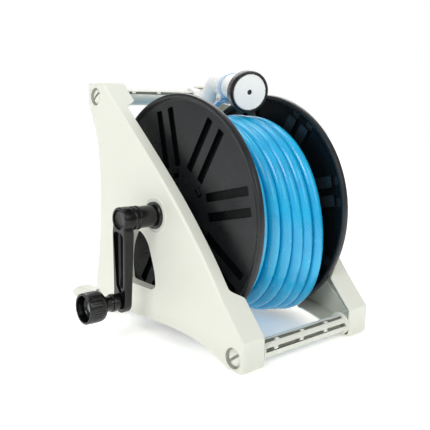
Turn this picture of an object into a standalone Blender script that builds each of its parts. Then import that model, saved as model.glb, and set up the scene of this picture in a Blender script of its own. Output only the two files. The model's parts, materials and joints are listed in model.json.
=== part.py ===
"""Garden hose reel: two moulded side panels on three slotted bars carry a drum with a hose, a crank and a
parked spray nozzle. X runs along the drum's axle with the crank at -X, -Y is the front, +Z is up, and the
origin is under the middle of the whole object, on the floor. Lengths in the functions are millimetres."""

import math

import bmesh
import bpy
import numpy as np
from mathutils import Matrix, Vector

MM = 0.001
GAP = 0.3

# Side panels
PANEL_OUT = 111.5
PANEL_WALL = 3.0
RIM_DEEP = 35.5
RIM_NARROW = 17.0
CREASE_ANGLE = math.radians(44.8)
FOOT_STEP = (-151.5, -133.0)
NOSE_STEP = (152.0, 170.0)
CREASE = [(121, 319), (97.7, 298), (69, 273.5), (25.7, 236), (-36.8, 179), (-89.7, 122.3), (-128.6, 73.2), (-160.7, 36.5)]
REAR_EDGE = [(149.5, 30), (142, 66), (136.5, 102.5), (132.6, 159), (133.2, 198), (139.7, 246), (149, 269), (158.5, 289)]
ARCH = [(112, 0), (104, 5), (88, 10), (60.8, 13.8), (15.9, 16.8), (-30, 18.8), (-75, 17.3), (-102, 12.2), (-127, 4.7), (-136, 0)]
TOE_Y = 221.6
FOOT_Y = 160.8
WINDOW = [(8, 58), (0, 64), (1, 80), (7, 98), (16, 118), (32, 130), (52, 128), (64, 112), (70, 88), (68, 64), (60, 58)]
RIB_THICKNESS = 2.4
RIB_DEPTH = 10.0

# Cross bars, where their axes pass in (y, z), and their fittings
BARS = {"top_handle_bar": (139.2, 301.0), "front_cross_bar": (-146.1, 16.3), "rear_cross_bar": (139.0, 15.8)}
BAR_R = 11.25
BAR_COLLAR_R = 14.2
BAR_SHOULDER_X = 92.0
BAR_END_X = 103.4
SPIGOT_R = 8.5
BAR_SIDES = 16
SLOTS_FACE_DEG = {"top_handle_bar": 61.5, "front_cross_bar": 37.5, "rear_cross_bar": 37.5}
SLOT_ROWS_DEG = (-28.5, 28.5, 151.5, 208.5)
SLOT_WIDTH = 4.2
SLOT_DEPTH = 5.8
SLOT_LENGTH = 37.5
SLOT_PITCH = 43.6
SLOT_STARTS = (-51.0, -44.3)
BOSS_R = 13.2
CAP_R = 11.5
CAP_RECESS_R = 12.0
BOLT_R = 3.0

# Drum
AXLE_Z = 155.5
FLANGE_R = 150.0
PLATE_IN = 71.5
PLATE_OUT = 74.5
HUB_R = 17.0
HUB_END = 91.0
SHAFT_R = 10.0
GROOVE_PAIRS = 8
GROOVE_START_DEG = 13.0
GROOVE_OFFSET = 12.0
GROOVE_FROM = 58.0
GROOVE_TO = 133.0
GROOVE_WIDTH = 10.0
BAR_FACE_IN = 68.0
WINDOW_COUNT = 6
WINDOW_START_DEG = 37.0
CORE_R = 54.0
CORE_WALL = 4.0

# Hose
HOSE_R = 8.0
WIND_R = 114.5
WIND_PITCH = 18.1
WIND_FIRST_X = -58.6
WIND_FULL_TURNS = 6
WIND_END_DEG = 147.0
LOOP_POINTS = 24
CLIMB_DROP = 18.0
CLIMB_DEG = 100.0
INNER_LAYERS_R = 105.0
INNER_LAYERS_X = 67.5

# Crank
BARREL_R = 13.5
BARREL_FROM = 116.4
ARM_IN = 150.5
ARM_OUT = 164.5
ARM_HUB_R = 15.0
ARM_HALF_WIDTH = 12.4
SCOOP_DEPTH = 6.5
PIN_FROM = 152.4
KNOB_Y = 8.0
KNOB_Z = -103.2
KNOB_FROM = 165.0
KNOB_TO = 210.0

# Water inlet on the right
AXLE_END = 124.0
ELBOW_R = 16.0
ELBOW_FROM = 114.2
ELBOW_TO = 145.0
BRANCH_X = 130.5
BRANCH_R = 10.0
BRANCH_END = -46.0
WATERWAY_R = 4.5

# Nozzle: the dial's face centre, then how its barrel points and leans
DIAL_AT = (20.0, -29.0, 307.5)
NOZZLE_YAW = math.radians(-16.0)
NOZZLE_RISE = math.radians(9.0)
NOZZLE_LEAN = math.radians(12.0)
TRIGGER_PIVOT = (0.0, 68.0, -21.5)
GRIP_END = (128.0, -56.0)
CONNECTOR_LENGTH = 34.0

NUT_R = 15.0

# Middle of the whole, measured from the drum's axis
MIDDLE_Y = (TOE_Y - FOOT_Y) / 2
MIDDLE_X = (BRANCH_X + NUT_R - KNOB_TO) / 2


def clear_scene():
    for item in list(bpy.data.objects):
        bpy.data.objects.remove(item, do_unlink=True)


def collection(name):
    made = bpy.data.collections.new(name)
    bpy.context.scene.collection.children.link(made)
    return made


def plastic(name, hex_colour, roughness, metallic=0.0):
    made = bpy.data.materials.new(name)
    made.use_nodes = True
    shader = made.node_tree.nodes["Principled BSDF"]
    channels = [int(hex_colour[i : i + 2], 16) / 255 for i in (1, 3, 5)]
    linear = [c / 12.92 if c <= 0.04045 else ((c + 0.055) / 1.055) ** 2.4 for c in channels]
    shader.inputs["Base Color"].default_value = (*linear, 1)
    shader.inputs["Roughness"].default_value = roughness
    shader.inputs["Metallic"].default_value = metallic
    return made


clear_scene()
PARTS = collection("hose_reel")
HELPERS = collection("cutters")
IVORY = plastic("ivory panel plastic", "#E9EBE0", 0.45)
BLACK = plastic("black drum plastic", "#2B2F31", 0.4)
CRANK_BLACK = plastic("black crank plastic", "#1E2122", 0.3)
HOSE_BLUE = plastic("blue hose", "#1FA6E4", 0.25)
PALE_BLUE = plastic("pale blue plastic", "#8FB9E6", 0.35)
WHITE = plastic("white plastic", "#F3F4F2", 0.35)
GREY = plastic("grey fitting plastic", "#8C9093", 0.45)
STEEL = plastic("steel pin", "#B4B7B9", 0.3, 1.0)
RUBBER = plastic("seal rubber", "#161616", 0.7)


def empty(name, location, parent=None, rotation=(0, 0, 0)):
    made = bpy.data.objects.new(name, None)
    made.location = Vector(location) * MM
    made.rotation_euler = rotation
    made.parent = parent
    PARTS.objects.link(made)
    return made


def placed(name, data, material, parent, location=(0, 0, 0), rotation=(0, 0, 0)):
    """An object that is a piece, or a hidden helper where it has no material."""
    made = bpy.data.objects.new(name, data)
    made.parent = parent
    made.location = Vector(location) * MM
    made.rotation_euler = rotation
    if material is None:
        HELPERS.objects.link(made)
        made.hide_render = True
        made.display_type = "WIRE"
    else:
        PARTS.objects.link(made)
        data.materials.append(material)
    return made


def mesh_of(name, bm):
    bmesh.ops.scale(bm, vec=(MM, MM, MM), verts=bm.verts)
    bmesh.ops.recalc_face_normals(bm, faces=bm.faces)
    data = bpy.data.meshes.new(name)
    bm.to_mesh(data)
    bm.free()
    return data


def soften(data, degrees=35):
    data.shade_smooth()
    data.set_sharp_from_angle(angle=math.radians(degrees))


def add_box(bm, size, centre, turn_x=0.0):
    """A box whose middle is at centre, turned about X."""
    place = Matrix.Translation(centre) @ Matrix.Rotation(turn_x, 4, "X") @ Matrix.Diagonal((*size, 1))
    bmesh.ops.create_cube(bm, size=1.0, matrix=place)


def add_cylinder(bm, radius, x_from, x_to, y, z, sides=32):
    """A closed cylinder along X."""
    place = Matrix.Translation(((x_from + x_to) / 2, y, z)) @ Matrix.Rotation(math.pi / 2, 4, "Y")
    bmesh.ops.create_cone(
        bm, cap_ends=True, segments=sides, radius1=radius, radius2=radius, depth=abs(x_to - x_from), matrix=place
    )


def add_prism(bm, outline, x_from, x_to):
    """A closed prism along X on a (y, z) outline."""
    face = bm.faces.new([bm.verts.new((x_from, y, z)) for y, z in outline])
    grown = bmesh.ops.extrude_face_region(bm, geom=[face])
    moved = [item for item in grown["geom"] if isinstance(item, bmesh.types.BMVert)]
    bmesh.ops.translate(bm, vec=(x_to - x_from, 0, 0), verts=moved)


def combine(target, bm, operation, solver="EXACT"):
    """A live Boolean with a helper mesh made from bm, in the target's own frame."""
    name = f"{target.name}_{operation.lower()}_{len(target.modifiers)}"
    helper = placed(name, mesh_of(name, bm), None, target)
    step = target.modifiers.new(operation.title(), "BOOLEAN")
    step.operation = operation
    step.solver = solver
    step.object = helper
    return helper


def turned(name, profile, material, parent, location=(0, 0, 0), rotation=(0, 0, 0), sides=32, ring=False):
    """A profile of (radius, height) turned about local Z. It runs down the outer side, and a ring is closed."""
    bm = bmesh.new()
    verts = [bm.verts.new((r * MM, 0, h * MM)) for r, h in profile]
    pairs = list(zip(verts, verts[1:]))
    if ring:
        pairs.append((verts[-1], verts[0]))
    for a, b in pairs:
        bm.edges.new((a, b))
    data = bpy.data.meshes.new(name)
    bm.to_mesh(data)
    bm.free()
    made = placed(name, data, material, parent, location, rotation)
    spin = made.modifiers.new("Screw", "SCREW")
    spin.steps = sides
    spin.render_steps = sides
    spin.use_merge_vertices = True
    spin.merge_threshold = 0.00001
    spin.use_smooth_shade = True
    return made


def settled(made, degrees=35):
    """Makes the modifiers' result the object's own mesh, so that it can be joined, cut and smoothed."""
    graph = bpy.context.evaluated_depsgraph_get()
    graph.update()
    data = bpy.data.meshes.new_from_object(made.evaluated_get(graph))
    made.modifiers.clear()
    made.data = data
    soften(data, degrees)
    return made


def tube(name, points, radius, material, parent, resolution=2):
    """A round tube with closed ends along a list of points."""
    curve = bpy.data.curves.new(name, "CURVE")
    curve.dimensions = "3D"
    curve.bevel_depth = radius * MM
    curve.bevel_resolution = resolution
    curve.use_fill_caps = True
    line = curve.splines.new("POLY")
    line.points.add(len(points) - 1)
    for point, place in zip(line.points, points):
        point.co = (*(Vector(place) * MM), 1)
    line.use_smooth = True
    return placed(name, curve, material, parent)


def mesh_from_curve(made):
    """The same object as a mesh with its caps welded on, for Booleans."""
    graph = bpy.context.evaluated_depsgraph_get()
    graph.update()
    data = bpy.data.meshes.new_from_object(made.evaluated_get(graph))
    bm = bmesh.new()
    bm.from_mesh(data)
    bmesh.ops.remove_doubles(bm, verts=bm.verts, dist=0.000001)
    bmesh.ops.recalc_face_normals(bm, faces=bm.faces)
    bm.to_mesh(data)
    bm.free()
    name, parent, curve_material = made.name, made.parent, made.data.materials[:]
    hidden = made.hide_render
    bpy.data.objects.remove(made, do_unlink=True)
    return placed(name, data, None if hidden else curve_material[0], parent)


def smooth_line(points, steps):
    """Catmull-Rom curve through the points, with this many steps between two of them."""
    p = np.array(points, float)
    ends = np.vstack([2 * p[0] - p[1], p, 2 * p[-1] - p[-2]])
    made = []
    for a, b, c, d in zip(ends, ends[1:], ends[2:], ends[3:]):
        for t in np.arange(steps) / steps:
            made.append(
                0.5 * (2 * b + (c - a) * t + (2 * a - 5 * b + 4 * c - d) * t**2 + (3 * b - a - 3 * c + d) * t**3)
            )
    return [tuple(q) for q in made] + [tuple(p[-1])]


def arc(centre, radius, from_deg, to_deg, steps):
    angles = np.radians(np.linspace(from_deg, to_deg, steps + 1))
    return [(centre[0] + radius * math.cos(a), centre[1] + radius * math.sin(a)) for a in angles]


def ease(t):
    t = min(max(t, 0.0), 1.0)
    return t * t * (3 - 2 * t)


def mirrored(made, name, parent):
    """The same piece for the other side, as its mirror image in X."""
    data = made.data.copy()
    data.name = name
    data.transform(Matrix.Scale(-1, 4, (1, 0, 0)))
    data.flip_normals()
    copy = bpy.data.objects.new(name, data)
    copy.parent = parent
    copy.location = made.location
    PARTS.objects.link(copy)
    return copy


def panel_outline():
    """The side panel in (y, z), from the rear toe's underside round to the arch between the feet."""
    toe = [(TOE_Y - 4, 0)] + arc((TOE_Y - 5, 5), 5, -54, 54, 3) + [(202, 18.2), (170, 20.5), (156, 23.5)]
    nose = arc((153.5, 294), 6, -20, 0, 1) + arc((155, 315), 5, 10, 90, 3)
    foot = arc((6 - FOOT_Y, 6), 6, 180, 270, 3)
    rear = smooth_line(REAR_EDGE, 2)
    crease = CREASE
    return toe + rear + nose + crease + foot + ARCH[::-1]


def step_cutter(side):
    """What is cut from the deep rim between the nose and the foot: its ends follow an S."""
    inner = PANEL_OUT - RIM_DEEP - 5
    narrow = PANEL_OUT - RIM_NARROW
    deep = PANEL_OUT - RIM_DEEP
    steps = 6
    line = [(FOOT_STEP[0], inner)]
    for i in range(steps + 1):
        t = i / steps
        line.append((FOOT_STEP[0] + t * (FOOT_STEP[1] - FOOT_STEP[0]), deep + ease(t) * (narrow - deep)))
    for i in range(steps + 1):
        t = i / steps
        line.append((NOSE_STEP[0] + t * (NOSE_STEP[1] - NOSE_STEP[0]), narrow + ease(t) * (deep - narrow)))
    line.append((NOSE_STEP[1], inner))
    bm = bmesh.new()
    along = Vector((0, math.cos(CREASE_ANGLE), math.sin(CREASE_ANGLE)))
    across = Vector((0, -math.sin(CREASE_ANGLE), math.cos(CREASE_ANGLE)))
    axle = Vector((0, 0, AXLE_Z))
    reach = 320
    ring = [bm.verts.new(axle + along * s + Vector((side * x, 0, 0)) - across * reach) for s, x in line]
    face = bm.faces.new(ring)
    grown = bmesh.ops.extrude_face_region(bm, geom=[face])
    moved = [item for item in grown["geom"] if isinstance(item, bmesh.types.BMVert)]
    bmesh.ops.translate(bm, vec=across * 2 * reach, verts=moved)
    return bm


def add_rib(bm, side, start, end):
    """A stiffening rib on the panel's inner face between two (y, z) points."""
    a, b = Vector((0, *start)), Vector((0, *end))
    run = b - a
    centre = (a + b) / 2 + Vector((side * (PANEL_OUT - PANEL_WALL - RIB_DEPTH / 2 + 0.5), 0, 0))
    add_box(bm, (RIB_DEPTH + 1, run.length, RIB_THICKNESS), centre, math.atan2(run.z, run.y))


def side_panel(name, side, root):
    """An open moulded shell: face, rim with deep ends, bar bosses, hub, window with its lip, and ribs."""
    outline = panel_outline()
    bm = bmesh.new()
    face = bm.faces.new([bm.verts.new((side * PANEL_OUT, y, z)) for y, z in outline])
    grown = bmesh.ops.extrude_face_region(bm, geom=[face], use_keep_orig=True)
    moved = [item for item in grown["geom"] if isinstance(item, bmesh.types.BMVert)]
    bmesh.ops.translate(bm, vec=(-side * RIM_DEEP, 0, 0), verts=moved)
    bmesh.ops.delete(bm, geom=[item for item in grown["geom"] if isinstance(item, bmesh.types.BMFace)], context="FACES_ONLY")
    panel = placed(name, mesh_of(name, bm), IVORY, root)
    wall = panel.modifiers.new("Solidify", "SOLIDIFY")
    wall.thickness = PANEL_WALL * MM
    wall.offset = -1
    wall.use_even_offset = True
    combine(panel, step_cutter(side), "DIFFERENCE")

    inside = side * (PANEL_OUT - PANEL_WALL + 1)
    bm = bmesh.new()
    for y, z in BARS.values():
        add_cylinder(bm, BOSS_R, side * (BAR_SHOULDER_X + GAP), inside, y, z, 18)
    add_cylinder(bm, 24, side * 96, inside, 0, AXLE_Z, 24)
    combine(panel, bm, "UNION")

    lip = smooth_line(WINDOW + WINDOW[:1], 2)[:-1]
    middle = np.mean(lip, axis=0)
    bm = bmesh.new()
    wide = [tuple(middle + (np.array(p) - middle) * 1.09) for p in lip]
    add_prism(bm, wide, side * 97, inside)
    combine(panel, bm, "UNION")

    bm = bmesh.new()
    add_rib(bm, side, (20, AXLE_Z), (131.3, AXLE_Z))
    combine(panel, bm, "UNION")
    bm = bmesh.new()
    add_rib(bm, side, (-14, AXLE_Z - 12), (-14, 20))
    combine(panel, bm, "UNION")
    bm = bmesh.new()
    add_rib(bm, side, (-15, AXLE_Z - 14), (-138, 25))
    combine(panel, bm, "UNION")
    bm = bmesh.new()
    add_rib(bm, side, (15, AXLE_Z + 16), (131, 292))
    combine(panel, bm, "UNION")

    bm = bmesh.new()
    add_prism(bm, lip, side * 90, side * (PANEL_OUT + 2))
    add_cylinder(bm, 15 + GAP, side * 90, side * (PANEL_OUT + 4), 0, AXLE_Z, 24)
    for y, z in BARS.values():
        add_cylinder(bm, CAP_RECESS_R, side * 106.6, side * (PANEL_OUT + 2), y, z, 18)
    combine(panel, bm, "DIFFERENCE")
    bm = bmesh.new()
    for y, z in BARS.values():
        add_cylinder(bm, SPIGOT_R + GAP, side * (BAR_SHOULDER_X - 2), side * 104, y, z, 16)
    combine(panel, bm, "DIFFERENCE")
    bm = bmesh.new()
    for y, z in BARS.values():
        add_cylinder(bm, BOLT_R + GAP, side * 100, side * 110, y, z, 10)
    combine(panel, bm, "DIFFERENCE")
    return settled(panel, 30)


def slotted_bar(name, y, z, root):
    """A round bar with a collar at each end, spigots for the panels and two rows of slots on either side."""
    half = [(SPIGOT_R, BAR_END_X), (SPIGOT_R, BAR_SHOULDER_X), (BAR_R, BAR_SHOULDER_X), (BAR_R, 75.7)]
    half += [(BAR_COLLAR_R, 75.7), (BAR_COLLAR_R, 72.7), (BAR_R, 72.7)]
    profile = [(0, BAR_END_X)] + half + [(r, -h) for r, h in reversed(half)] + [(0, -BAR_END_X)]
    bar = settled(turned(name, profile, IVORY, root, (0, y, z), (0, math.pi / 2, 0), BAR_SIDES))
    bm = bmesh.new()
    for row, row_deg in enumerate(SLOT_ROWS_DEG):
        towards = math.radians(SLOTS_FACE_DEG[name] + row_deg)
        turn = math.atan2(-math.cos(towards), -math.sin(towards))
        start = SLOT_STARTS[row % 2] - 2 * SLOT_PITCH
        for i in range(5):
            low = max(start + i * SLOT_PITCH, -71.0)
            high = min(start + i * SLOT_PITCH + SLOT_LENGTH, 71.0)
            if high - low < 8:
                continue
            place = Matrix.Rotation(turn, 4, "Z") @ Matrix.Translation((BAR_R, 0, (low + high) / 2))
            bmesh.ops.create_cube(bm, size=1.0, matrix=place @ Matrix.Diagonal((2 * SLOT_DEPTH, SLOT_WIDTH, high - low, 1)))
    combine(bar, bm, "DIFFERENCE")
    bm = bmesh.new()
    for end in (-1, 1):
        place = Matrix.Translation((0, 0, end * BAR_END_X))
        bmesh.ops.create_cone(
            bm, cap_ends=True, segments=8, radius1=BOLT_R + GAP, radius2=BOLT_R + GAP, depth=28, matrix=place
        )
    combine(bar, bm, "DIFFERENCE")
    return settled(bar)


def cap_bolt(name, side, y, z, slot_deg, root):
    """A broad domed head with a coin slot, sunk in the panel, on a bolt that holds the bar's end."""
    profile = [(0, 111.2), (5, 110.9), (8.8, 109.9), (CAP_R, 107.8), (CAP_R, 106.9), (BOLT_R, 106.9), (BOLT_R, 91), (0, 91)]
    bolt = settled(turned(name, profile, IVORY, root, (0, y, z), (0, side * math.pi / 2, 0), 14))
    bm = bmesh.new()
    place = Matrix.Rotation(math.radians(slot_deg), 4, "Z") @ Matrix.Translation((0, 0, 111.2))
    bmesh.ops.create_cube(bm, size=1.0, matrix=place @ Matrix.Diagonal((14, 3.0, 5.2, 1)))
    combine(bolt, bm, "DIFFERENCE")
    return settled(bolt)


def bearing_bush(name, side, collar, root):
    """A flanged sleeve in the panel's hub."""
    face = PANEL_OUT + GAP
    profile = [(17, face + collar), (17, face), (15, face), (15, 92), (SHAFT_R + 0.35, 92), (SHAFT_R + 0.35, face + collar)]
    return settled(turned(name, profile, BLACK if side < 0 else GREY, root, (0, 0, AXLE_Z), (0, side * math.pi / 2, 0), 20, True))


def polar(deg, radius):
    """(y, z) at this angle from the front, towards the top."""
    return -radius * math.cos(math.radians(deg)), radius * math.sin(math.radians(deg))


def flange(name, side, drum):
    """A pressed-looking disc: rolled rim, hub sleeve, pairs of grooves that stand out as bars inside, windows."""
    profile = [(0, PLATE_OUT), (142.4, PLATE_OUT), (144.6, 77.3), (147.8, 77.6), (FLANGE_R, 76.2), (FLANGE_R, 70.4)]
    profile += [(147.6, 69.0), (145, 69.4), (143.4, PLATE_IN), (0, PLATE_IN)]
    disc = settled(turned(name, profile, BLACK, drum, (0, 0, 0), (0, side * math.pi / 2, 0), 40))
    disc.rotation_euler = (0, 0, 0)
    disc.data.transform(Matrix.Rotation(side * math.pi / 2, 4, "Y"))
    length = GROOVE_TO - GROOVE_FROM
    bars, grooves = bmesh.new(), bmesh.new()
    for i in range(GROOVE_PAIRS):
        deg = GROOVE_START_DEG + i * 360 / GROOVE_PAIRS
        y, z = polar(deg, (GROOVE_FROM + GROOVE_TO) / 2)
        away = Vector((0, math.sin(math.radians(deg)), math.cos(math.radians(deg))))
        for sign in (-1, 1):
            centre = Vector((0, y, z)) + away * sign * GROOVE_OFFSET
            turn = math.radians(180 - deg)
            bars_x = side * (BAR_FACE_IN + PLATE_IN + 1) / 2
            add_box(bars, (PLATE_IN + 1 - BAR_FACE_IN, length + 5, GROOVE_WIDTH + 4), centre + Vector((bars_x, 0, 0)), turn)
            grooves_x = side * (BAR_FACE_IN + 2 + PLATE_OUT + 1) / 2
            depth = PLATE_OUT + 1 - BAR_FACE_IN - 2
            add_box(grooves, (depth, length, GROOVE_WIDTH), centre + Vector((grooves_x, 0, 0)), turn)
    combine(disc, bars, "UNION")
    combine(disc, grooves, "DIFFERENCE")
    bm = bmesh.new()
    add_cylinder(bm, HUB_R, side * (PLATE_IN + 1), side * HUB_END, 0, 0, 24)
    combine(disc, bm, "UNION")
    bm = bmesh.new()
    for i in range(WINDOW_COUNT):
        deg = WINDOW_START_DEG + i * 360 / WINDOW_COUNT
        y, z = polar(deg, 49)
        add_box(bm, (12, 10.6, 12), (side * 73, y, z), math.radians(180 - deg))
    add_cylinder(bm, SHAFT_R + 0.35, side * 60, side * 100, 0, 0, 20)
    combine(disc, bm, "DIFFERENCE")
    return settled(disc, 30)


def drum_core(drum):
    """The tube between the flanges. Its tongues reach through the flanges' windows."""
    half = PLATE_IN - GAP
    inner = CORE_R - CORE_WALL
    profile = [(CORE_R, half), (CORE_R, -half), (inner, -half), (inner, half)]
    core = settled(turned("drum_core", profile, BLACK, drum, (0, 0, 0), (0, math.pi / 2, 0), 22, True))
    core.rotation_euler = (0, 0, 0)
    core.data.transform(Matrix.Rotation(math.pi / 2, 4, "Y"))
    bm = bmesh.new()
    for side in (-1, 1):
        for i in range(WINDOW_COUNT):
            deg = WINDOW_START_DEG + i * 360 / WINDOW_COUNT
            y, z = polar(deg, CORE_R - 2.2)
            add_box(bm, (10, 3.0, 9), (side * 71.8, y, z), math.radians(180 - deg))
    combine(core, bm, "UNION")
    return settled(core, 30)


def wind_point(deg):
    """Centre of the outer layer's tube, counted in degrees from the first pass at the front, going down there."""
    turns = max(deg, 0.0) / 360
    radius = WIND_R - CLIMB_DROP * ease(-deg / CLIMB_DEG)
    a = math.radians(deg)
    return Vector((WIND_FIRST_X + WIND_PITCH * turns, -radius * math.cos(a), -radius * math.sin(a)))


def winding_route(extra=0.0):
    """The outer layer: a straight end, the climb from the layer below, the helix and a straight end."""
    last = 360 * WIND_FULL_TURNS + WIND_END_DEG
    count = round((last + CLIMB_DEG) / 360 * LOOP_POINTS)
    points = [wind_point(-CLIMB_DEG + (last + CLIMB_DEG) * i / count) for i in range(count + 1)]
    run_in = (points[0] - points[1]).normalized() * (2 * HOSE_R + extra)
    run_out = (points[-1] - points[-2]).normalized() * 2 * HOSE_R
    return [points[0] + run_in] + points + [points[-1] + run_out]


def print_least_gap(route):
    """Least clear distance between turns of the winding, measured from its centre line."""
    p = np.array([tuple(q) for q in route])
    apart = np.linalg.norm(p[:, None] - p[None], axis=2)
    near = np.abs(np.subtract.outer(np.arange(len(p)), np.arange(len(p)))) < LOOP_POINTS // 2
    apart[near] = np.inf
    print(f"least gap of the winding to itself: {apart.min() - 2 * HOSE_R:.2f} mm")


def hose_layers(drum):
    """The plain inner layers with the groove where the hose climbs out of them, and the wound outer layer."""
    route = winding_route()
    print_least_gap(route)
    winding = mesh_from_curve(tube("hose_winding", route, HOSE_R, HOSE_BLUE, drum, 1))
    soften(winding.data, 70)
    bore = CORE_R + 2 * GAP
    profile = [(INNER_LAYERS_R, INNER_LAYERS_X), (INNER_LAYERS_R, -INNER_LAYERS_X), (bore, -INNER_LAYERS_X), (bore, INNER_LAYERS_X)]
    inner = settled(turned("hose_inner_layers", profile, HOSE_BLUE, drum, (0, 0, 0), (0, math.pi / 2, 0), 22, True))
    inner.rotation_euler = (0, 0, 0)
    inner.data.transform(Matrix.Rotation(math.pi / 2, 4, "Y"))
    climb = winding_route(GAP)[: LOOP_POINTS // 2]
    cutter = mesh_from_curve(tube("climb_cutter", climb, HOSE_R + 0.4, HOSE_BLUE, drum, 1))
    HELPERS.objects.link(cutter)
    PARTS.objects.unlink(cutter)
    cutter.hide_render = True
    cutter.display_type = "WIRE"
    step = inner.modifiers.new("Difference", "BOOLEAN")
    step.operation = "DIFFERENCE"
    step.object = cutter
    settled(inner, 30)
    return winding


def spindle(drum):
    """Crank side shaft: a head inside the drum, a round journal and a square end for the crank."""
    head = PLATE_IN - GAP
    profile = [(0, 117.8), (SHAFT_R, 117.8), (SHAFT_R, head), (20, head), (20, head - 4), (0, head - 4)]
    shaft = settled(turned("crank_spindle", profile, STEEL, drum, (0, 0, 0), (0, -math.pi / 2, 0), 18))
    bm = bmesh.new()
    add_box(bm, (12, 12, 24.5), (0, 0, 128.7))
    combine(shaft, bm, "UNION")
    return settled(shaft)


def crank_arm(drum):
    """The barrel and the arm in one moulding, with the cap recess, a scooped outer face and the pin's hole."""
    reach = math.hypot(KNOB_Y, KNOB_Z)
    lean = math.atan2(KNOB_Y, -KNOB_Z)
    arm_r = ARM_HALF_WIDTH
    outline = arc((0, 0), ARM_HUB_R, -35, 215, 9) + [(-arm_r, -14)] + arc((0, -reach), arm_r + 0.6, 180, 360, 7) + [(arm_r, -14)]
    outline = [(y * math.cos(lean) - z * math.sin(lean), y * math.sin(lean) + z * math.cos(lean)) for y, z in outline]
    bm = bmesh.new()
    add_prism(bm, outline, -ARM_OUT, -ARM_IN)
    arm = placed("crank_arm", mesh_of("crank_arm", bm), CRANK_BLACK, drum)
    edge = arm.modifiers.new("Bevel", "BEVEL")
    edge.width = 1.5 * MM
    edge.segments = 1
    edge.limit_method = "ANGLE"
    edge.angle_limit = math.radians(50)
    bm = bmesh.new()
    add_cylinder(bm, BARREL_R, -BARREL_FROM, -ARM_IN - 4, 0, 0, 20)
    combine(arm, bm, "UNION")
    bm = bmesh.new()
    for ridge in (-138, -144.5):
        add_cylinder(bm, BARREL_R + 1.2, ridge, ridge - 3, 0, 0, 20)
    combine(arm, bm, "UNION")

    def along(from_hub):
        return from_hub * math.sin(lean), -from_hub * math.cos(lean)

    bm = bmesh.new()
    add_cylinder(bm, 12, -ARM_OUT - 2, -ARM_OUT + 4.5, 0, 0, 20)
    y, z = along(52)
    add_box(bm, (2 * SCOOP_DEPTH, 18.4, 64), (-ARM_OUT, y, z), lean)
    add_cylinder(bm, 4.3, -PIN_FROM + 0.4, -ARM_OUT - 2, KNOB_Y, KNOB_Z, 10)
    add_cylinder(bm, SHAFT_R + 0.4, -BARREL_FROM + 2, -118.4, 0, 0, 16)
    combine(arm, bm, "DIFFERENCE")
    bm = bmesh.new()
    add_box(bm, (30, 12.7, 12.7), (-126.6, 0, 0))
    combine(arm, bm, "DIFFERENCE")
    return settled(arm)


def crank_cap(drum):
    profile = [(0, 162.8), (9.6, 162.8), (11.6, 162), (11.6, 160.4), (0, 160.4)]
    return settled(turned("crank_cap", profile, CRANK_BLACK, drum, (0, 0, 0), (0, -math.pi / 2, 0), 24))


def knob_pin(drum):
    profile = [(0, 202), (5, 202), (6.5, 200.6), (6.5, 198), (4, 198), (4, PIN_FROM), (0, PIN_FROM)]
    return settled(turned("knob_pin", profile, STEEL, drum, (0, KNOB_Y, KNOB_Z), (0, -math.pi / 2, 0), 14))


def crank_knob(knob):
    """A slender neck that opens into a deep bell; the pin's head shows inside it."""
    outside = [(17.4, 210), (18.8, 208.4), (18.8, 192), (16.4, 186), (10.2, 182.6), (9.5, 174)]
    outside += [(11.6, 172), (11.6, 167), (10, 165.2), (4.35, 165.2)]
    inside = [(4.35, 197.4), (12, 197.4), (15.4, 200), (15.8, 210)]
    made = turned("crank_knob", outside + inside, CRANK_BLACK, knob, (0, 0, 0), (0, -math.pi / 2, 0), 20, True)
    made.location = (0, 0, 0)
    return settled(made)


def water_axle(drum):
    """The inlet side shaft: a tube with a head inside the drum and a groove for its seal."""
    head = PLATE_IN - GAP
    end = AXLE_END
    profile = [(SHAFT_R, end), (SHAFT_R, 121.3), (8, 121.3), (8, 117.7), (SHAFT_R, 117.7), (SHAFT_R, head)]
    profile += [(20, head), (20, head - 4), (WATERWAY_R, head - 4), (WATERWAY_R, end)]
    return settled(turned("water_axle", profile, GREY, drum, (0, 0, 0), (0, math.pi / 2, 0), 20, True))


def axle_seal(drum):
    profile = [(10.2, 120.4), (10.2, 118.6), (8.3, 118), (8.3, 121)]
    return settled(turned("axle_seal", profile, RUBBER, drum, (0, 0, 0), (0, math.pi / 2, 0), 20, True))


def core_outlet(drum):
    """Bent pipe inside the core from the water axle to the core's wall, where the hose's inner end starts."""
    bend = arc((44, -16), 16, 90, 180, 6)
    points = [(66.7, 0, 0)] + [(x, y, 0) for x, y in bend] + [(28, -CORE_R + CORE_WALL + 1.2, 0)]
    return tube("core_outlet", points, 8, GREY, drum, 2)


def inlet_elbow(root):
    """The part of the inlet that stays still: a round housing over the axle's end with a branch pointing down."""
    outside = [(0, ELBOW_TO), (11, ELBOW_TO), (ELBOW_R, 141.5), (ELBOW_R, ELBOW_FROM)]
    profile = outside + [(SHAFT_R + 0.4, ELBOW_FROM), (SHAFT_R + 0.4, 137), (0, 137)]
    made = settled(turned("inlet_elbow", profile, GREY, root, (0, 0, AXLE_Z), (0, math.pi / 2, 0), 18))
    made.rotation_euler = (0, 0, 0)
    made.data.transform(Matrix.Rotation(math.pi / 2, 4, "Y"))
    for radius, top, operation in ((BRANCH_R, -12.0, "UNION"), (WATERWAY_R, -9.0, "DIFFERENCE")):
        low = BRANCH_END if operation == "UNION" else BRANCH_END - 2
        bm = bmesh.new()
        place = Matrix.Translation((BRANCH_X, 0, (top + low) / 2))
        bmesh.ops.create_cone(
            bm, cap_ends=True, segments=16, radius1=radius, radius2=radius, depth=top - low, matrix=place
        )
        combine(made, bm, operation)
    return settled(made)


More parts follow.
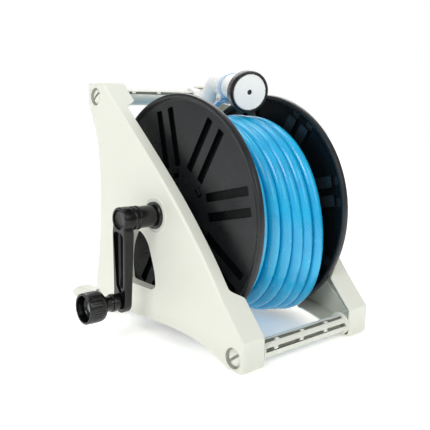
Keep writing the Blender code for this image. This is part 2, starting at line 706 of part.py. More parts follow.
def inlet_nipple(root):
    """The spigot that a quick connector snaps on to."""
    top = BRANCH_END - GAP
    outside = [(9.7, top), (9.7, top - 3.4), (8.4, top - 3.4), (8.4, top - 17), (10.6, top - 18.5), (10.6, top - 21)]
    outside += [(8.4, top - 22.5), (8.4, top - 26), (7.2, top - 26), (7.2, top - 29), (8.4, top - 29), (7.8, top - 38)]
    profile = outside + [(WATERWAY_R, top - 38), (WATERWAY_R, top)]
    return settled(turned("inlet_nipple", profile, GREY, root, (BRANCH_X, 0, AXLE_Z), (0, 0, 0), 16, True))


def inlet_nut(root):
    """The ribbed nut that holds the nipple under the elbow's branch."""
    top = BRANCH_END + 11
    low = BRANCH_END - 8
    profile = [(14.2, top), (NUT_R, top - 1), (NUT_R, low + 1), (14.2, low), (8.8, low), (8.8, low + 3.7), (10.35, low + 3.7), (10.35, top)]
    made = settled(turned("inlet_lock_nut", profile, GREY, root, (BRANCH_X, 0, AXLE_Z), (0, 0, 0), 16, True))
    bm = bmesh.new()
    for i in range(6):
        y, x = polar(i * 60, 15.2)
        place = Matrix.Translation((x, y, (top + low) / 2)) @ Matrix.Rotation(math.atan2(y, x), 4, "Z")
        bmesh.ops.create_cube(bm, size=1.0, matrix=place @ Matrix.Diagonal((2.4, 2.2, 30, 1)))
    combine(made, bm, "DIFFERENCE")
    return settled(made)


def loft(name, sections, material, parent, sides=14):
    """Rings of unlike size joined along a route. A section is its (y, z) centre, the route's angle there in
    degrees below level, and its half width along x and half height."""
    bm = bmesh.new()
    rings = []
    for (y, z), drop, half_x, half_z in sections:
        a = math.radians(drop)
        ring = []
        for i in range(sides):
            t = 2 * math.pi * i / sides
            up = half_z * math.sin(t)
            ring.append(bm.verts.new((half_x * math.cos(t), y + up * math.sin(a), z + up * math.cos(a))))
        rings.append(ring)
    for one, two in zip(rings, rings[1:]):
        bmesh.ops.bridge_loops(bm, edges=ring_edges(bm, one) + ring_edges(bm, two))
    bm.faces.new(rings[0])
    bm.faces.new(rings[-1])
    made = placed(name, mesh_of(name, bm), material, parent)
    soften(made.data, 40)
    return made


def ring_edges(bm, ring):
    return [bm.edges.get((a, b)) or bm.edges.new((a, b)) for a, b in zip(ring, ring[1:] + ring[:1])]


def grip_sections(grow=0.0):
    """The nozzle's white body: seat of the dial, sleeve, seat of the index ring, barrel and pistol grip."""
    rounds = [(8.6, 12), (16.4, 12), (16.5, 19.5), (20, 20), (27, 17.2), (53.9, 17.2), (54, 15), (62, 15), (62.1, 17.2)]
    rounds += [(80, 16.8), (92, 16)]
    made = [((y, 0), 0, r + grow, r + grow) for y, r in rounds]
    made += [
        ((103, -3.5), 30, 14.5 + grow, 15 + grow),
        ((111, -13), 56, 13.5 + grow, 14.5 + grow),
        ((116, -26), 69, 13 + grow, 14 + grow),
        ((121, -39), 69, 12.6 + grow, 13.6 + grow),
        (GRIP_END, 68, 12.4 + grow, 13 + grow),
    ]
    return made


def nozzle_dial(frame):
    """The pattern dial: a knurled cup whose front takes the white face."""
    profile = [(0, 8.2), (12.35, 8.2), (12.35, 16), (25.4, 16), (26.6, 14.6), (27.4, 4), (27, 1), (26, 0), (24.6, 0)]
    profile += [(23.7, 1.2), (23.7, 4), (0, 4)]
    dial = settled(turned("nozzle_dial", profile, BLACK, frame, (0, 0, 0), (-math.pi / 2, 0, 0), 24))
    bm = bmesh.new()
    ribs = 12
    for i in range(ribs):
        place = Matrix.Rotation(2 * math.pi * i / ribs, 4, "Z") @ Matrix.Translation((28.1, 0, 10))
        bmesh.ops.create_cube(bm, size=1.0, matrix=place @ Matrix.Diagonal((2.6, 2.2, 9, 1)))
    combine(dial, bm, "DIFFERENCE")
    return settled(dial)


def nozzle_face(frame):
    profile = [(23.3, 3.7), (23.3, 1.4), (22.4, 0.9), (3.5, 0.9), (3.5, 3.7)]
    return settled(turned("nozzle_face", profile, WHITE, frame, (0, 0, 0), (-math.pi / 2, 0, 0), 28, True))


def nozzle_ring(frame):
    profile = [(18.2, 61.6), (18.2, 54.4), (15.35, 54.4), (15.35, 61.6)]
    return settled(turned("nozzle_index_ring", profile, PALE_BLUE, frame, (0, 0, 0), (-math.pi / 2, 0, 0), 28, True))


def trigger(axis):
    """The squeeze lever. Its two ears sit on the pin, and it hangs back and down in front of the grip."""
    outline = [(-3.5, 2.6), (3, 3.2), (11, 0.5), (21, -8.5), (29, -17), (33.5, -26), (36, -36), (33.5, -37.5), (31.2, -36)]
    outline += [(28.6, -27), (24.5, -19.5), (16, -11), (8, -4.6), (0, -3.4), (-3.5, -2)]
    bm = bmesh.new()
    add_prism(bm, outline, -5.5, 5.5)
    lever = placed("nozzle_trigger", mesh_of("nozzle_trigger", bm), PALE_BLUE, axis)
    bm = bmesh.new()
    add_cylinder(bm, 1.55, -10, 10, 0, 0, 16)
    combine(lever, bm, "DIFFERENCE")
    return settled(lever, 40)


def trigger_bracket(frame):
    """Two cheeks under the barrel that carry the trigger's pin."""
    outline = [(-6, 7), (8, 7), (6, -1.5), (3, -4), (-2, -4), (-5, -1)]
    y, z = TRIGGER_PIVOT[1:]
    bm = bmesh.new()
    for side in (-1, 1):
        add_prism(bm, [(y + a, z + b) for a, b in outline], side * 6, side * 9)
    return bm


def nozzle(frame, trigger_axis):
    body = loft("nozzle_body", grip_sections(), WHITE, frame)
    combine(body, trigger_bracket(frame), "UNION")
    bm = bmesh.new()
    y, z = TRIGGER_PIVOT[1:]
    add_cylinder(bm, 1.8, -12, 12, y, z, 16)
    combine(body, bm, "DIFFERENCE")
    settled(body, 40)
    nozzle_dial(frame)
    nozzle_face(frame)
    nozzle_ring(frame)
    trigger(trigger_axis)
    profile = [(0, 10), (2.6, 10), (2.6, 9.3), (1.5, 9.3), (1.5, -9.3), (2.6, -9.3), (2.6, -10), (0, -10)]
    settled(turned("trigger_pin", profile, STEEL, trigger_axis, (0, 0, 0), (0, math.pi / 2, 0), 12))
    lean = math.radians(158)
    run = Vector((0, math.sin(lean), math.cos(lean)))
    start = Vector((0, *GRIP_END)) + run * GAP
    profile = [(9.4, CONNECTOR_LENGTH), (11.2, CONNECTOR_LENGTH - 2), (11.8, 12), (12.4, 9), (12.4, 1), (11.4, 0), (0, 0)]
    profile = [(0, CONNECTOR_LENGTH)] + profile
    connector = settled(turned("hose_connector", profile, PALE_BLUE, frame, start, (-lean, 0, 0), 20))
    bm = bmesh.new()
    ribs = 8
    for i in range(ribs):
        place = Matrix.Rotation(2 * math.pi * i / ribs, 4, "Z") @ Matrix.Translation((12.9, 0, 22))
        bmesh.ops.create_cube(bm, size=1.0, matrix=place @ Matrix.Diagonal((2.8, 1.8, 16, 1)))
    combine(connector, bm, "DIFFERENCE")
    settled(connector)
    return start + run * (CONNECTOR_LENGTH + GAP), run


def hose_tail(root, frame, exit_local, run_local):
    """The free end between the winding and the nozzle, behind the drum."""
    bpy.context.view_layer.update()
    to_root = root.matrix_world.inverted() @ frame.matrix_world
    high = (to_root @ (exit_local * MM)) / MM
    high_run = to_root.to_3x3() @ run_local
    route = winding_route()
    axle = Vector((0, 0, AXLE_Z))
    low_run = (route[-1] - route[-2]).normalized()
    low = route[-1] + axle + low_run * GAP
    straight = 2 * HOSE_R
    a, b = low + low_run * straight, high + high_run * straight
    pull = 1.25 * (b - a).length
    steps = 14
    points = [low]
    for i in range(steps + 1):
        t = i / steps
        points.append(
            a * (2 * t**3 - 3 * t**2 + 1)
            + low_run * pull * (t**3 - 2 * t**2 + t)
            + b * (-2 * t**3 + 3 * t**2)
            - high_run * pull * (t**3 - t**2)
        )
    points.append(high)
    return tube("hose_tail", points, HOSE_R, HOSE_BLUE, root, 1)


def nozzle_holder(root, frame):
    """A clip on the top bar with an arm and a fork that takes the nozzle's grip from the front."""
    y, z = BARS["top_handle_bar"]
    profile = [(15, 7), (15, -7), (BAR_R + GAP, -7), (BAR_R + GAP, 7)]
    holder = settled(turned("nozzle_holder", profile, WHITE, root, (60, y, z), (0, math.pi / 2, 0), 24, True))
    holder.rotation_euler = (0, 0, 0)
    holder.data.transform(Matrix.Rotation(math.pi / 2, 4, "Y"))
    bm = bmesh.new()
    add_box(bm, (12.6, 18, 9), (0, -21, -6))
    combine(holder, bm, "UNION")
    bm = bmesh.new()
    add_box(bm, (38, 28, 11), (-13, -40, -8.5))
    combine(holder, bm, "UNION")
    bm = bmesh.new()
    add_box(bm, (30, 20, 14), (0, 11, -13), math.radians(-40))
    combine(holder, bm, "DIFFERENCE")
    room = loft("grip_room", grip_sections(0.6), None, frame)
    step = holder.modifiers.new("Difference", "BOOLEAN")
    step.operation = "DIFFERENCE"
    step.object = room
    return settled(holder)


def main():
    root = empty("reel_root", (-MIDDLE_X, -MIDDLE_Y, 0))
    drum = empty("drum_axis", (0, 0, AXLE_Z), root)
    knob = empty("knob_axis", (0, KNOB_Y, KNOB_Z), drum)
    frame = empty("nozzle_axis", DIAL_AT, root)
    frame.rotation_mode = "QUATERNION"
    place = Matrix.Rotation(NOZZLE_YAW, 3, "Z") @ Matrix.Rotation(NOZZLE_RISE, 3, "X")
    frame.rotation_quaternion = (place @ Matrix.Rotation(NOZZLE_LEAN, 3, "Y")).to_quaternion()
    trigger_axis = empty("trigger_axis", TRIGGER_PIVOT, frame)

    mirrored(side_panel("left_side_panel", -1, root), "right_side_panel", root)
    for name, (y, z) in BARS.items():
        slotted_bar(name, y, z, root)
        place_name = name.split("_")[0]
        cap_bolt(f"left_{place_name}_cap_bolt", -1, y, z, 40, root)
        cap_bolt(f"right_{place_name}_cap_bolt", 1, y, z, -25, root)
    bearing_bush("left_bearing_bush", -1, 4.0, root)
    bearing_bush("right_bearing_bush", 1, 2.0, root)
    inlet_elbow(root)
    inlet_nipple(root)
    inlet_nut(root)

    mirrored(flange("drum_left_flange", -1, drum), "drum_right_flange", drum)
    drum_core(drum)
    hose_layers(drum)
    spindle(drum)
    water_axle(drum)
    axle_seal(drum)
    core_outlet(drum)
    crank_arm(drum)
    crank_cap(drum)
    knob_pin(drum)
    crank_knob(knob)

    exit_local, run_local = nozzle(frame, trigger_axis)
    hose_tail(root, frame, exit_local, run_local)
    nozzle_holder(root, frame)


main()
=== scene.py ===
"""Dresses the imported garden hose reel: moulded panels, slotted bars, a wound blue hose on a black drum, the
crank, the parked spray nozzle and the water inlet, each in the finish of the real material."""

import json
import math

import bmesh
import bpy
import numpy as np
from mathutils import Matrix, Vector


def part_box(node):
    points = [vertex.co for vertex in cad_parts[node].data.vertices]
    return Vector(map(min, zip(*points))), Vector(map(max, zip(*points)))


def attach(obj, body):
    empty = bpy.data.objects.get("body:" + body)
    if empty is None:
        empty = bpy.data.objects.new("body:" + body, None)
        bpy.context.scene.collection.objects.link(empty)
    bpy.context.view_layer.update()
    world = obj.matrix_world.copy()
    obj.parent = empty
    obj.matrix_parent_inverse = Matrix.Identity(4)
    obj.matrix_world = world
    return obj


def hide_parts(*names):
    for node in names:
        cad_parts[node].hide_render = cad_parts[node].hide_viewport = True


bl_info = {
    "name": "Garden hose reel",
    "version": (1, 0, 0),
    "blender": (4, 5, 0),
    "location": "3D View > Sidebar > Hose reel",
    "description": "Models and finishes the pieces of a hand-cranked garden hose reel",
    "category": "Mesh",
}

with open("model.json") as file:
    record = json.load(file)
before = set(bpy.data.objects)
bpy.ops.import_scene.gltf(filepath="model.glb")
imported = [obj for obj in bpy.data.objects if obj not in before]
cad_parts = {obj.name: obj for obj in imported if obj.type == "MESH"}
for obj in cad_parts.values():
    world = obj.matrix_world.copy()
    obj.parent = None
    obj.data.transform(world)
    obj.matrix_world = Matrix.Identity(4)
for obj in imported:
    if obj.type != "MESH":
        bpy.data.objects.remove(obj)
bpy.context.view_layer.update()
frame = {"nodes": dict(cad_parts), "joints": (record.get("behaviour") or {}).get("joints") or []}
JOINTS = {joint["name"]: joint for joint in frame["joints"]}

MM = 0.001
AXLE = Vector(JOINTS["drum_spin"]["pos_m"])
ORIGIN = Vector((AXLE.x, AXLE.y, 0))
AXLE_Z = AXLE.z / MM
SIDE_X = Vector((1, 0, 0))
UP = Vector((0, 0, 1))

WELD = 0.000004
GAP = 0.3

# The side panel's edges and window, as (y, z) in millimetres from the axle and the floor
CREASE = [
    (121, 319), (97.7, 298), (69, 273.5), (25.7, 236), (-36.8, 179), (-89.7, 122.3), (-128.6, 73.2),
    (-160.7, 36.5),
]
REAR_EDGE = [
    (149.5, 30), (142, 66), (136.5, 102.5), (132.6, 159), (133.2, 198), (139.7, 246), (149, 269),
    (158.5, 289),
]
ARCH = [
    (112, 0), (104, 5), (88, 10), (60.8, 13.8), (15.9, 16.8), (-30, 18.8), (-75, 17.3), (-102, 12.2),
    (-127, 4.7), (-136, 0),
]
WINDOW = [
    (8, 58), (0, 64), (1, 80), (7, 98), (16, 118), (32, 130), (52, 128), (64, 112), (70, 88), (68, 64),
    (60, 58),
]
FOOT_Y = 160.8
TOE_Y = 221.6
PANEL_OUT = 111.5
IN_WALL = 109.5
RIM_ROUND = 0.002
FACE_ROUND = 0.0036
CREASE_ANGLE = math.radians(44.8)
FOOT_STEP = (-151.5, -133.0)
NOSE_STEP = (152.0, 170.0)
STEP_POINTS = 12
RIM_DEEP = 35.5
RIM_NARROW = 17.0
RIB_HALF = 1.2

BARS = ("top_handle_bar", "front_cross_bar", "rear_cross_bar")
BAR_R = 11.25
SLOTS_FACE_DEG = {"top_handle_bar": 61.5, "front_cross_bar": 37.5, "rear_cross_bar": 37.5}
SLOT_ROWS_DEG = (-28.5, 28.5, 151.5, 208.5)
SLOT_STARTS = (-51.0, -44.3)
SLOT_PITCH = 43.6
SLOT_LENGTH = 37.5
SLOT_WIDTH = 4.2
SLOTS_END = 71.0
BOLT_SLOT_DEG = {"left": -38, "right": -25}

CLIMB_DROP = 16.4
CLIMB_DEG = 100.0
WIND_FULL_TURNS = 6
WIND_END_DEG = 147.0
WIND_LAST_DEG = 360 * WIND_FULL_TURNS + WIND_END_DEG
WIND_STEP_DEG = 5
WIND_FIRST_X = -58.6
TURNS_BELOW = 6.6
LAYERS_BELOW_HALF = 67.0
LOOSE_RADIUS = 0.9
LOOSE_SIDE = 1.0
SLACK_MIDDLE = (62, -55, 92)
SLACK_WAY = (0, -0.66, -1.0)
SLACK_REACH = 0.150
LEAVE_DEG = 15
TAIL_PULL = 1.25
TAIL_STEPS = 32

GROOVE_PAIRS = 8
GROOVE_START_DEG = 13
GROOVE_OFFSET = 12
GROOVE_MIDDLE = 95.5
GROOVE_LENGTH = 75
GROOVE_WIDTH = 11
LATCHES = 6
LATCH_START_DEG = 37
LATCH_RADIUS = 49

ARM_OUT = 164.5
ARM_OUT_AT_PIN = 161.0
ARM_THICK = 14
ARM_HUB_R = 15.0
ARM_END_R = 13.2
ARM_END_FORWARD = 1.9
KNOB_GROOVES = 40

TRIGGER_PIVOT = (0.0, 68.0, -21.5)
LEVER_WIDTH = 8.4
GRIP_END = (0.0, 128.0, -56.0)
GRIP_LEAN = math.radians(158)
CONNECTOR_LENGTH = 34.0
CONNECTOR_GROOVES = 24
DIAL_GROOVES = 30
NUT_GROOVES = 16

# Millimetres from the axle's foot, the viewing direction and the lens that fit the photograph
CAMERA_PLACE = (-561.0, -630.0, 291.8)
CAMERA_AIM = (0.628, 0.7626, -0.1549)
CAMERA_ROLL_DEG = 0.467
CAMERA_LENS = 52.929
CAMERA_SHIFT = (0.0392, -0.0269)
REEL_MIDDLE = (0, 0, 0.15)
# Name, place, target, size in metres and power in watts
SOFT_BOXES = (
    ("key_light", (-1.9, -0.9, 1.5), REEL_MIDDLE, 1.0, 21.0),
    ("fill_light", (0.6, -2.1, 1.3), REEL_MIDDLE, 1.2, 8.0),
    ("top_light", (-0.2, 0.2, 2.2), REEL_MIDDLE, 1.2, 12.0),
    ("back_light", (2.6, 3.2, 3.0), (2.6, 3.21, 0), 4.0, 90.0),
)


# Colours and materials


def linear(hex_colour):
    """An sRGB hex colour as linear red, green, blue and alpha."""
    channels = [int(hex_colour[i : i + 2], 16) / 255 for i in (1, 3, 5)]
    return [c / 12.92 if c <= 0.04045 else ((c + 0.055) / 1.055) ** 2.4 for c in channels] + [1.0]


def shade(colour, factor):
    return [min(1.0, c * factor) for c in colour[:3]] + [1.0]


def feed(tree, node, inputs):
    """Sets a node's inputs, or links them where the value is another node's output."""
    for key, value in inputs.items():
        if isinstance(value, bpy.types.NodeSocket):
            tree.links.new(value, node.inputs[key])
        else:
            node.inputs[key].default_value = value


def add(tree, kind, inputs=None, **settings):
    """Adds one shader node with its settings and its inputs."""
    made = tree.nodes.new("ShaderNode" + kind)
    for key, value in settings.items():
        setattr(made, key, value)
    feed(tree, made, inputs or {})
    return made


def noise(tree, place, size, detail, roughness=0.5):
    """Noise with features of about this size, in metres."""
    inputs = {"Vector": place, "Scale": 1 / size, "Detail": detail, "Roughness": roughness}
    return add(tree, "TexNoise", inputs).outputs["Fac"]


def mixed(tree, factor, first, second):
    return add(tree, "MixRGB", {"Fac": factor, "Color1": first, "Color2": second}).outputs["Color"]


def mapped(tree, value, source, target, **settings):
    """A value taken from one range of (low, high) to another."""
    ends = {"From Min": source[0], "From Max": source[1], "To Min": target[0], "To Max": target[1]}
    return add(tree, "MapRange", {"Value": value, **ends}, **settings).outputs["Result"]


def maths(tree, operation, *values):
    return add(tree, "Math", dict(enumerate(values)), operation=operation).outputs[0]


def blank(name):
    """A new material, its tree, its shader and its texture coordinates."""
    made = bpy.data.materials.new(name)
    made.use_nodes = True
    tree = made.node_tree
    return made, tree, tree.nodes["Principled BSDF"], add(tree, "TexCoord").outputs


def moulded(name, colour, roughness, grain_mm, height_mm, mottle=0.03, coat=0.0, low_darkening=0.0):
    """Injection-moulded plastic: an eroded mould grain, faint flow clouds and handling polish; faces marked
    as recesses take painted shade.
    """
    made, tree, shader, where = blank(name)
    place = where["Object"]
    cloud = noise(tree, place, 0.055, 3.0, 0.55)
    tint = mixed(tree, cloud, shade(colour, 1 - mottle), shade(colour, 1 + mottle))
    # Darker, greyer patches towards the floor, fading out 35 mm up
    if low_darkening:
        height = add(tree, "SeparateXYZ", {"Vector": place}).outputs["Z"]
        low = mapped(tree, height, (0.0, 0.035), (low_darkening, 0.0))
        patch = noise(tree, place, 0.012, 6.0, 0.7)
        tint = mixed(tree, maths(tree, "MULTIPLY", low, patch), tint, linear("#8C8676"))
    # Painted shade: faces marked 'recess' get a base colour at 35% and a weaker specular, standing in for the
    # shade deep in grooves, slots and sockets
    recess = add(tree, "Attribute", attribute_name="recess").outputs["Fac"]
    polish = noise(tree, place, 0.018, 4.0)
    grain = noise(tree, place, grain_mm * MM, 2.0, 0.6)
    bump = add(tree, "Bump", {"Height": grain, "Strength": 0.55, "Distance": height_mm * MM})
    looks = {
        "Base Color": mixed(tree, recess, tint, shade(colour, 0.35)),
        "Specular IOR Level": mapped(tree, recess, (0.0, 1.0), (0.5, 0.15)),
        "Roughness": mapped(tree, polish, (0.3, 0.7), (roughness - 0.05, roughness + 0.06)),
        "Normal": bump.outputs["Normal"],
        "IOR": 1.49,
        "Coat Weight": coat,
        "Coat Roughness": 0.15,
    }
    feed(tree, shader, looks)
    return made


def hose_pvc(name, body_colour, deep_colour, thread_colour):
    """Clear-skinned reinforced PVC: a blue wall with crossing threads under a glossy outer skin."""
    made, tree, shader, where = blank(name)
    split = add(tree, "SeparateXYZ", {"Vector": where["UV"]})
    along = maths(tree, "MULTIPLY", split.outputs["X"], 1 / 0.0042)
    around = maths(tree, "MULTIPLY", split.outputs["Y"], 12.0)
    threads = []
    for sign in ("ADD", "SUBTRACT"):
        turn = maths(tree, "MULTIPLY", maths(tree, sign, along, around), 2 * math.pi)
        threads.append(mapped(tree, maths(tree, "COSINE", turn), (0.55, 0.95), (0.0, 1.0)))
    cross = maths(tree, "MAXIMUM", *threads)
    body = mixed(tree, noise(tree, where["Object"], 0.03, 3.0), deep_colour, body_colour)
    bump = add(tree, "Bump", {"Height": cross, "Strength": 0.35, "Distance": 0.00012})
    looks = {
        "Base Color": mixed(tree, maths(tree, "MULTIPLY", cross, 0.14), body, thread_colour),
        "Normal": bump.outputs["Normal"],
        "Roughness": mapped(tree, noise(tree, where["Object"], 0.01, 5.0), (0.3, 0.7), (0.16, 0.28)),
        "IOR": 1.53,
        "Subsurface Weight": 0.12,
        "Subsurface Radius": (0.001, 0.002, 0.004),
        "Coat Weight": 0.35,
        "Coat Roughness": 0.1,
    }
    feed(tree, shader, looks)
    return made


def plated_steel(name):
    """Zinc-plated turned steel: fine marks and a dull silver."""
    made, tree, shader, where = blank(name)
    marks = noise(tree, where["Object"], 0.0006, 3.0)
    tone = mixed(tree, marks, linear("#9A9DA0"), linear("#C3C6C8"))
    rough = mapped(tree, marks, (0.3, 0.7), (0.25, 0.42))
    feed(tree, shader, {"Base Color": tone, "Roughness": rough, "Metallic": 1.0})
    return made


def light_table(name, colour):
    """An opal acrylic light table: matt, finely grained, and lit from below so that shadows stay pale."""
    made, tree, shader, where = blank(name)
    tone = mixed(tree, noise(tree, where["Object"], 0.002, 3.0), shade(colour, 0.99), shade(colour, 1.01))
    feed(tree, shader, {"Base Color": tone, "Roughness": 0.9})
    feed(tree, shader, {"Emission Color": tone, "Emission Strength": 0.32})
    return made


MATERIALS = {}


def make_materials(colours):
    """The finishes. The numbers are the roughness, the grain and its height in mm, and the mottle."""
    shown = (colours.ivory, colours.drum, colours.hose, colours.pale_blue)
    ivory, drum, hose, pale = [list(colour) + [1.0] for colour in shown]
    # Polypropylene from a spark-eroded mould: dull sheen with a fine grain (0.35 mm, drawn at 0.6 mm to show)
    MATERIALS["ivory"] = moulded("ivory moulded polypropylene", ivory, 0.46, 0.6, 0.05, 0.018, low_darkening=0.22)
    # Filled polypropylene: charcoal rather than black, with a satin face
    MATERIALS["drum"] = moulded("charcoal moulded polypropylene", drum, 0.3, 0.7, 0.012)
    # Polished ABS, where hands keep it smooth
    MATERIALS["crank"] = moulded("black polished ABS", linear("#08090A"), 0.2, 1.4, 0.01, 0.06)
    MATERIALS["dial"] = moulded("black acetal", linear("#060708"), 0.26, 0.8, 0.03, 0.06)
    MATERIALS["white"] = moulded("white polished ABS", linear("#F8F9F6"), 0.30, 1.4, 0.015, 0.012, coat=0.1)
    MATERIALS["pale"] = moulded("pale blue ABS", pale, 0.32, 1.0, 0.02, 0.04, coat=0.1)
    MATERIALS["grey"] = moulded("grey moulded nylon", linear("#8B8F92"), 0.45, 0.8, 0.04, 0.05)
    MATERIALS["seal"] = moulded("nitrile rubber", linear("#141414"), 0.65, 0.5, 0.03, 0.1)
    MATERIALS["steel"] = plated_steel("zinc-plated steel")
    MATERIALS["hose"] = hose_pvc("clear-skinned blue PVC", hose, linear("#0096D2"), linear("#70D4F4"))
    MATERIALS["floor"] = light_table("opal acrylic light table", linear("#FBFBFB"))


# Modelling helpers


def beside(place, x, y, z):
    """A point this many millimetres from a place."""
    return place + Vector((x, y, z)) * MM


def at(x, y, z):
    """A place in millimetres, X and Y from the drum's axis and Z from the floor."""
    return beside(ORIGIN, x, y, z)


def middle(node):
    low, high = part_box(node)
    return (Vector(low) + Vector(high)) / 2


def mid_line(node):
    """The middle of a node, moved into the reel's middle plane."""
    centre = middle(node)
    return Vector((AXLE.x, centre.y, centre.z))


def deselect():
    if bpy.context.object and bpy.context.object.mode != "OBJECT":
        bpy.ops.object.mode_set(mode="OBJECT")
    bpy.ops.object.select_all(action="DESELECT")


def make_active(piece):
    deselect()
    piece.select_set(True)
    bpy.context.view_layer.objects.active = piece


def edit(piece):
    make_active(piece)
    bpy.ops.object.mode_set(mode="EDIT")
    bpy.ops.mesh.select_all(action="SELECT")


def weld():
    bpy.ops.mesh.select_all(action="SELECT")
    bpy.ops.mesh.remove_doubles(threshold=WELD)


def tidy_mesh(piece):
    """Merges what lies together, turns the faces outwards and leaves edit mode."""
    weld()
    bpy.ops.mesh.normals_make_consistent(inside=False)
    bpy.ops.object.mode_set(mode="OBJECT")
    bpy.ops.object.transform_apply(location=True, rotation=True, scale=True)
    return piece


def draw(name, points):
    """A line of edges, drawn by extruding one vertex from point to point, and left in edit mode."""
    deselect()
    bpy.ops.mesh.primitive_plane_add(size=0.002, location=points[0])
    piece = bpy.context.object
    piece.name = name
    bpy.ops.object.mode_set(mode="EDIT")
    bpy.ops.mesh.select_mode(type="VERT")
    bpy.ops.mesh.select_all(action="SELECT")
    bpy.ops.mesh.merge(type="CENTER")
    for a, b in zip(points, points[1:]):
        push(b - a)
    return piece


def lathe(name, profile, place, axis, steps=96, closed=False):
    """A profile of (radius, height) in millimetres, drawn beside the axis and spun round it."""
    axis = Vector(axis).normalized()
    side = axis.orthogonal().normalized()
    points = [place + side * r * MM + axis * h * MM for r, h in profile]
    if closed:
        points.append(points[0])
    piece = draw(name, points)
    weld()
    bpy.ops.mesh.spin(steps=steps, angle=2 * math.pi, center=place, axis=axis, use_auto_merge=True)
    return tidy_mesh(piece)


def push(move):
    bpy.ops.mesh.extrude_region_move(TRANSFORM_OT_translate={"value": move})


def raised(name, outline, depth):
    """A closed outline of points, filled and extruded by the vector depth, and left in edit mode."""
    piece = draw(name, list(outline) + [outline[0]])
    weld()
    bpy.ops.mesh.edge_face_add()
    push(depth)
    return piece


def prism(name, outline, depth):
    return tidy_mesh(raised(name, outline, depth))


def plate(name, place, x, outline, depth):
    """An outline of (y, z) in millimetres from a place, extruded along X from x by the depth."""
    return prism(name, [beside(place, x, y, z) for y, z in outline], Vector((depth, 0, 0)) * MM)


def mirrored(half):
    """A profile of (radius, height) continued by its mirror image below."""
    return half + [(r, -h) for r, h in half[::-1]]


def modified(piece, kind, **settings):
    """Adds a modifier, sets it and applies it."""
    make_active(piece)
    bpy.ops.object.modifier_add(type=kind)
    step = piece.modifiers[-1]
    for key, value in settings.items():
        setattr(step, key, value)
    bpy.ops.object.modifier_apply(modifier=step.name)
    return piece


def boolean(piece, tool, operation="DIFFERENCE"):
    modified(piece, "BOOLEAN", operation=operation, solver="EXACT", object=tool)
    bpy.data.objects.remove(tool, do_unlink=True)
    return piece


def joined(pieces):
    deselect()
    for piece in pieces:
        piece.select_set(True)
    bpy.context.view_layer.objects.active = pieces[0]
    bpy.ops.object.join()
    return pieces[0]


def copied(piece, name, place=Matrix.Identity(4)):
    """A copy with its own mesh, moved by a matrix. A mirror image has its faces turned back out."""
    data = piece.data.copy()
    data.transform(place)
    if place.determinant() < 0:
        data.flip_normals()
    copy = bpy.data.objects.new(name, data)
    bpy.context.scene.collection.objects.link(copy)
    return copy


def across(place_x):
    """The mirror image in the plane at this X."""
    return Matrix.Translation((2 * place_x, 0, 0)) @ Matrix.Scale(-1, 4, SIDE_X)


def turn_about(place, axis, degrees):
    turn = Matrix.Rotation(math.radians(degrees), 4, axis)
    return Matrix.Translation(place) @ turn @ Matrix.Translation(-place)


def knurled(piece, outline, along, place, axis, count):
    """Cuts grooves round an axis, each one the outline extruded by the vector along."""
    grooves = []
    for i in range(count):
        groove = prism("knurl", outline, along)
        groove.data.transform(turn_about(place, axis, i * 360 / count))
        grooves.append(groove)
    return boolean(piece, joined(grooves))


def eased(piece, width_mm, segments=2, angle=35):
    """Rounds the sharp edges a little, as a mould does."""
    limit = math.radians(angle)
    return modified(piece, "BEVEL", width=width_mm * MM, segments=segments, angle_limit=limit)


def finished(piece, body, slot, material, *nodes, angle=32):
    """Smooths and paints the piece, hangs it on its body and hides the CAD nodes that it stands for."""
    make_active(piece)
    bpy.ops.object.shade_smooth_by_angle(angle=math.radians(angle))
    if material != "hose":
        modified(piece, "WEIGHTED_NORMAL", weight=100, keep_sharp=True)
    piece.data.materials.clear()
    piece.data.materials.append(MATERIALS[material])
    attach(piece, body)
    if nodes:
        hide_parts(*nodes)
    return piece


def paint_recess_shade(piece, amount, centre, inside):
    """Marks the faces whose centre passes the test for painted shade: darker and duller, like shade in groove
    bottoms.
    """
    mark = piece.data.attributes.new("recess", "FLOAT", "FACE")
    for face, value in zip(piece.data.polygons, mark.data):
        value.value = amount if inside((face.center - centre) / MM) else 0.0


def smooth_line(points, steps):
    """Catmull-Rom curve through the points, with this many steps between two of them."""
    p = np.array(points, float)
    ends = np.vstack([2 * p[0] - p[1], p, 2 * p[-1] - p[-2]])
    made = []
    for a, b, c, d in zip(ends, ends[1:], ends[2:], ends[3:]):
        for t in np.arange(steps) / steps:
            square, cube = 2 * a - 5 * b + 4 * c - d, 3 * b - a - 3 * c + d
            made.append(0.5 * (2 * b + (c - a) * t + square * t**2 + cube * t**3))
    return [tuple(q) for q in made] + [tuple(p[-1])]


def arc(centre, radius, from_deg, to_deg, steps):
    angles = np.radians(np.linspace(from_deg, to_deg, steps + 1))
    return [(centre[0] + radius * math.cos(a), centre[1] + radius * math.sin(a)) for a in angles]


def slot_outline(length, width, corner=1.6):
    """A long rectangle with rounded corners round the origin, its length along the first coordinate."""
    a, b = length / 2 - corner, width / 2 - corner
    ends = ((a, -b, -90), (a, b, 0), (-a, b, 90), (-a, -b, 180))
    return [p for x, y, deg in ends for p in arc((x, y), corner, deg, deg + 90, 3)]


def ease(t):
    t = min(max(t, 0.0), 1.0)
    return t * t * (3 - 2 * t)


def polar(deg, radius):
    """(y, z) at this angle from the front, towards the top."""
    return -radius * math.cos(math.radians(deg)), radius * math.sin(math.radians(deg))


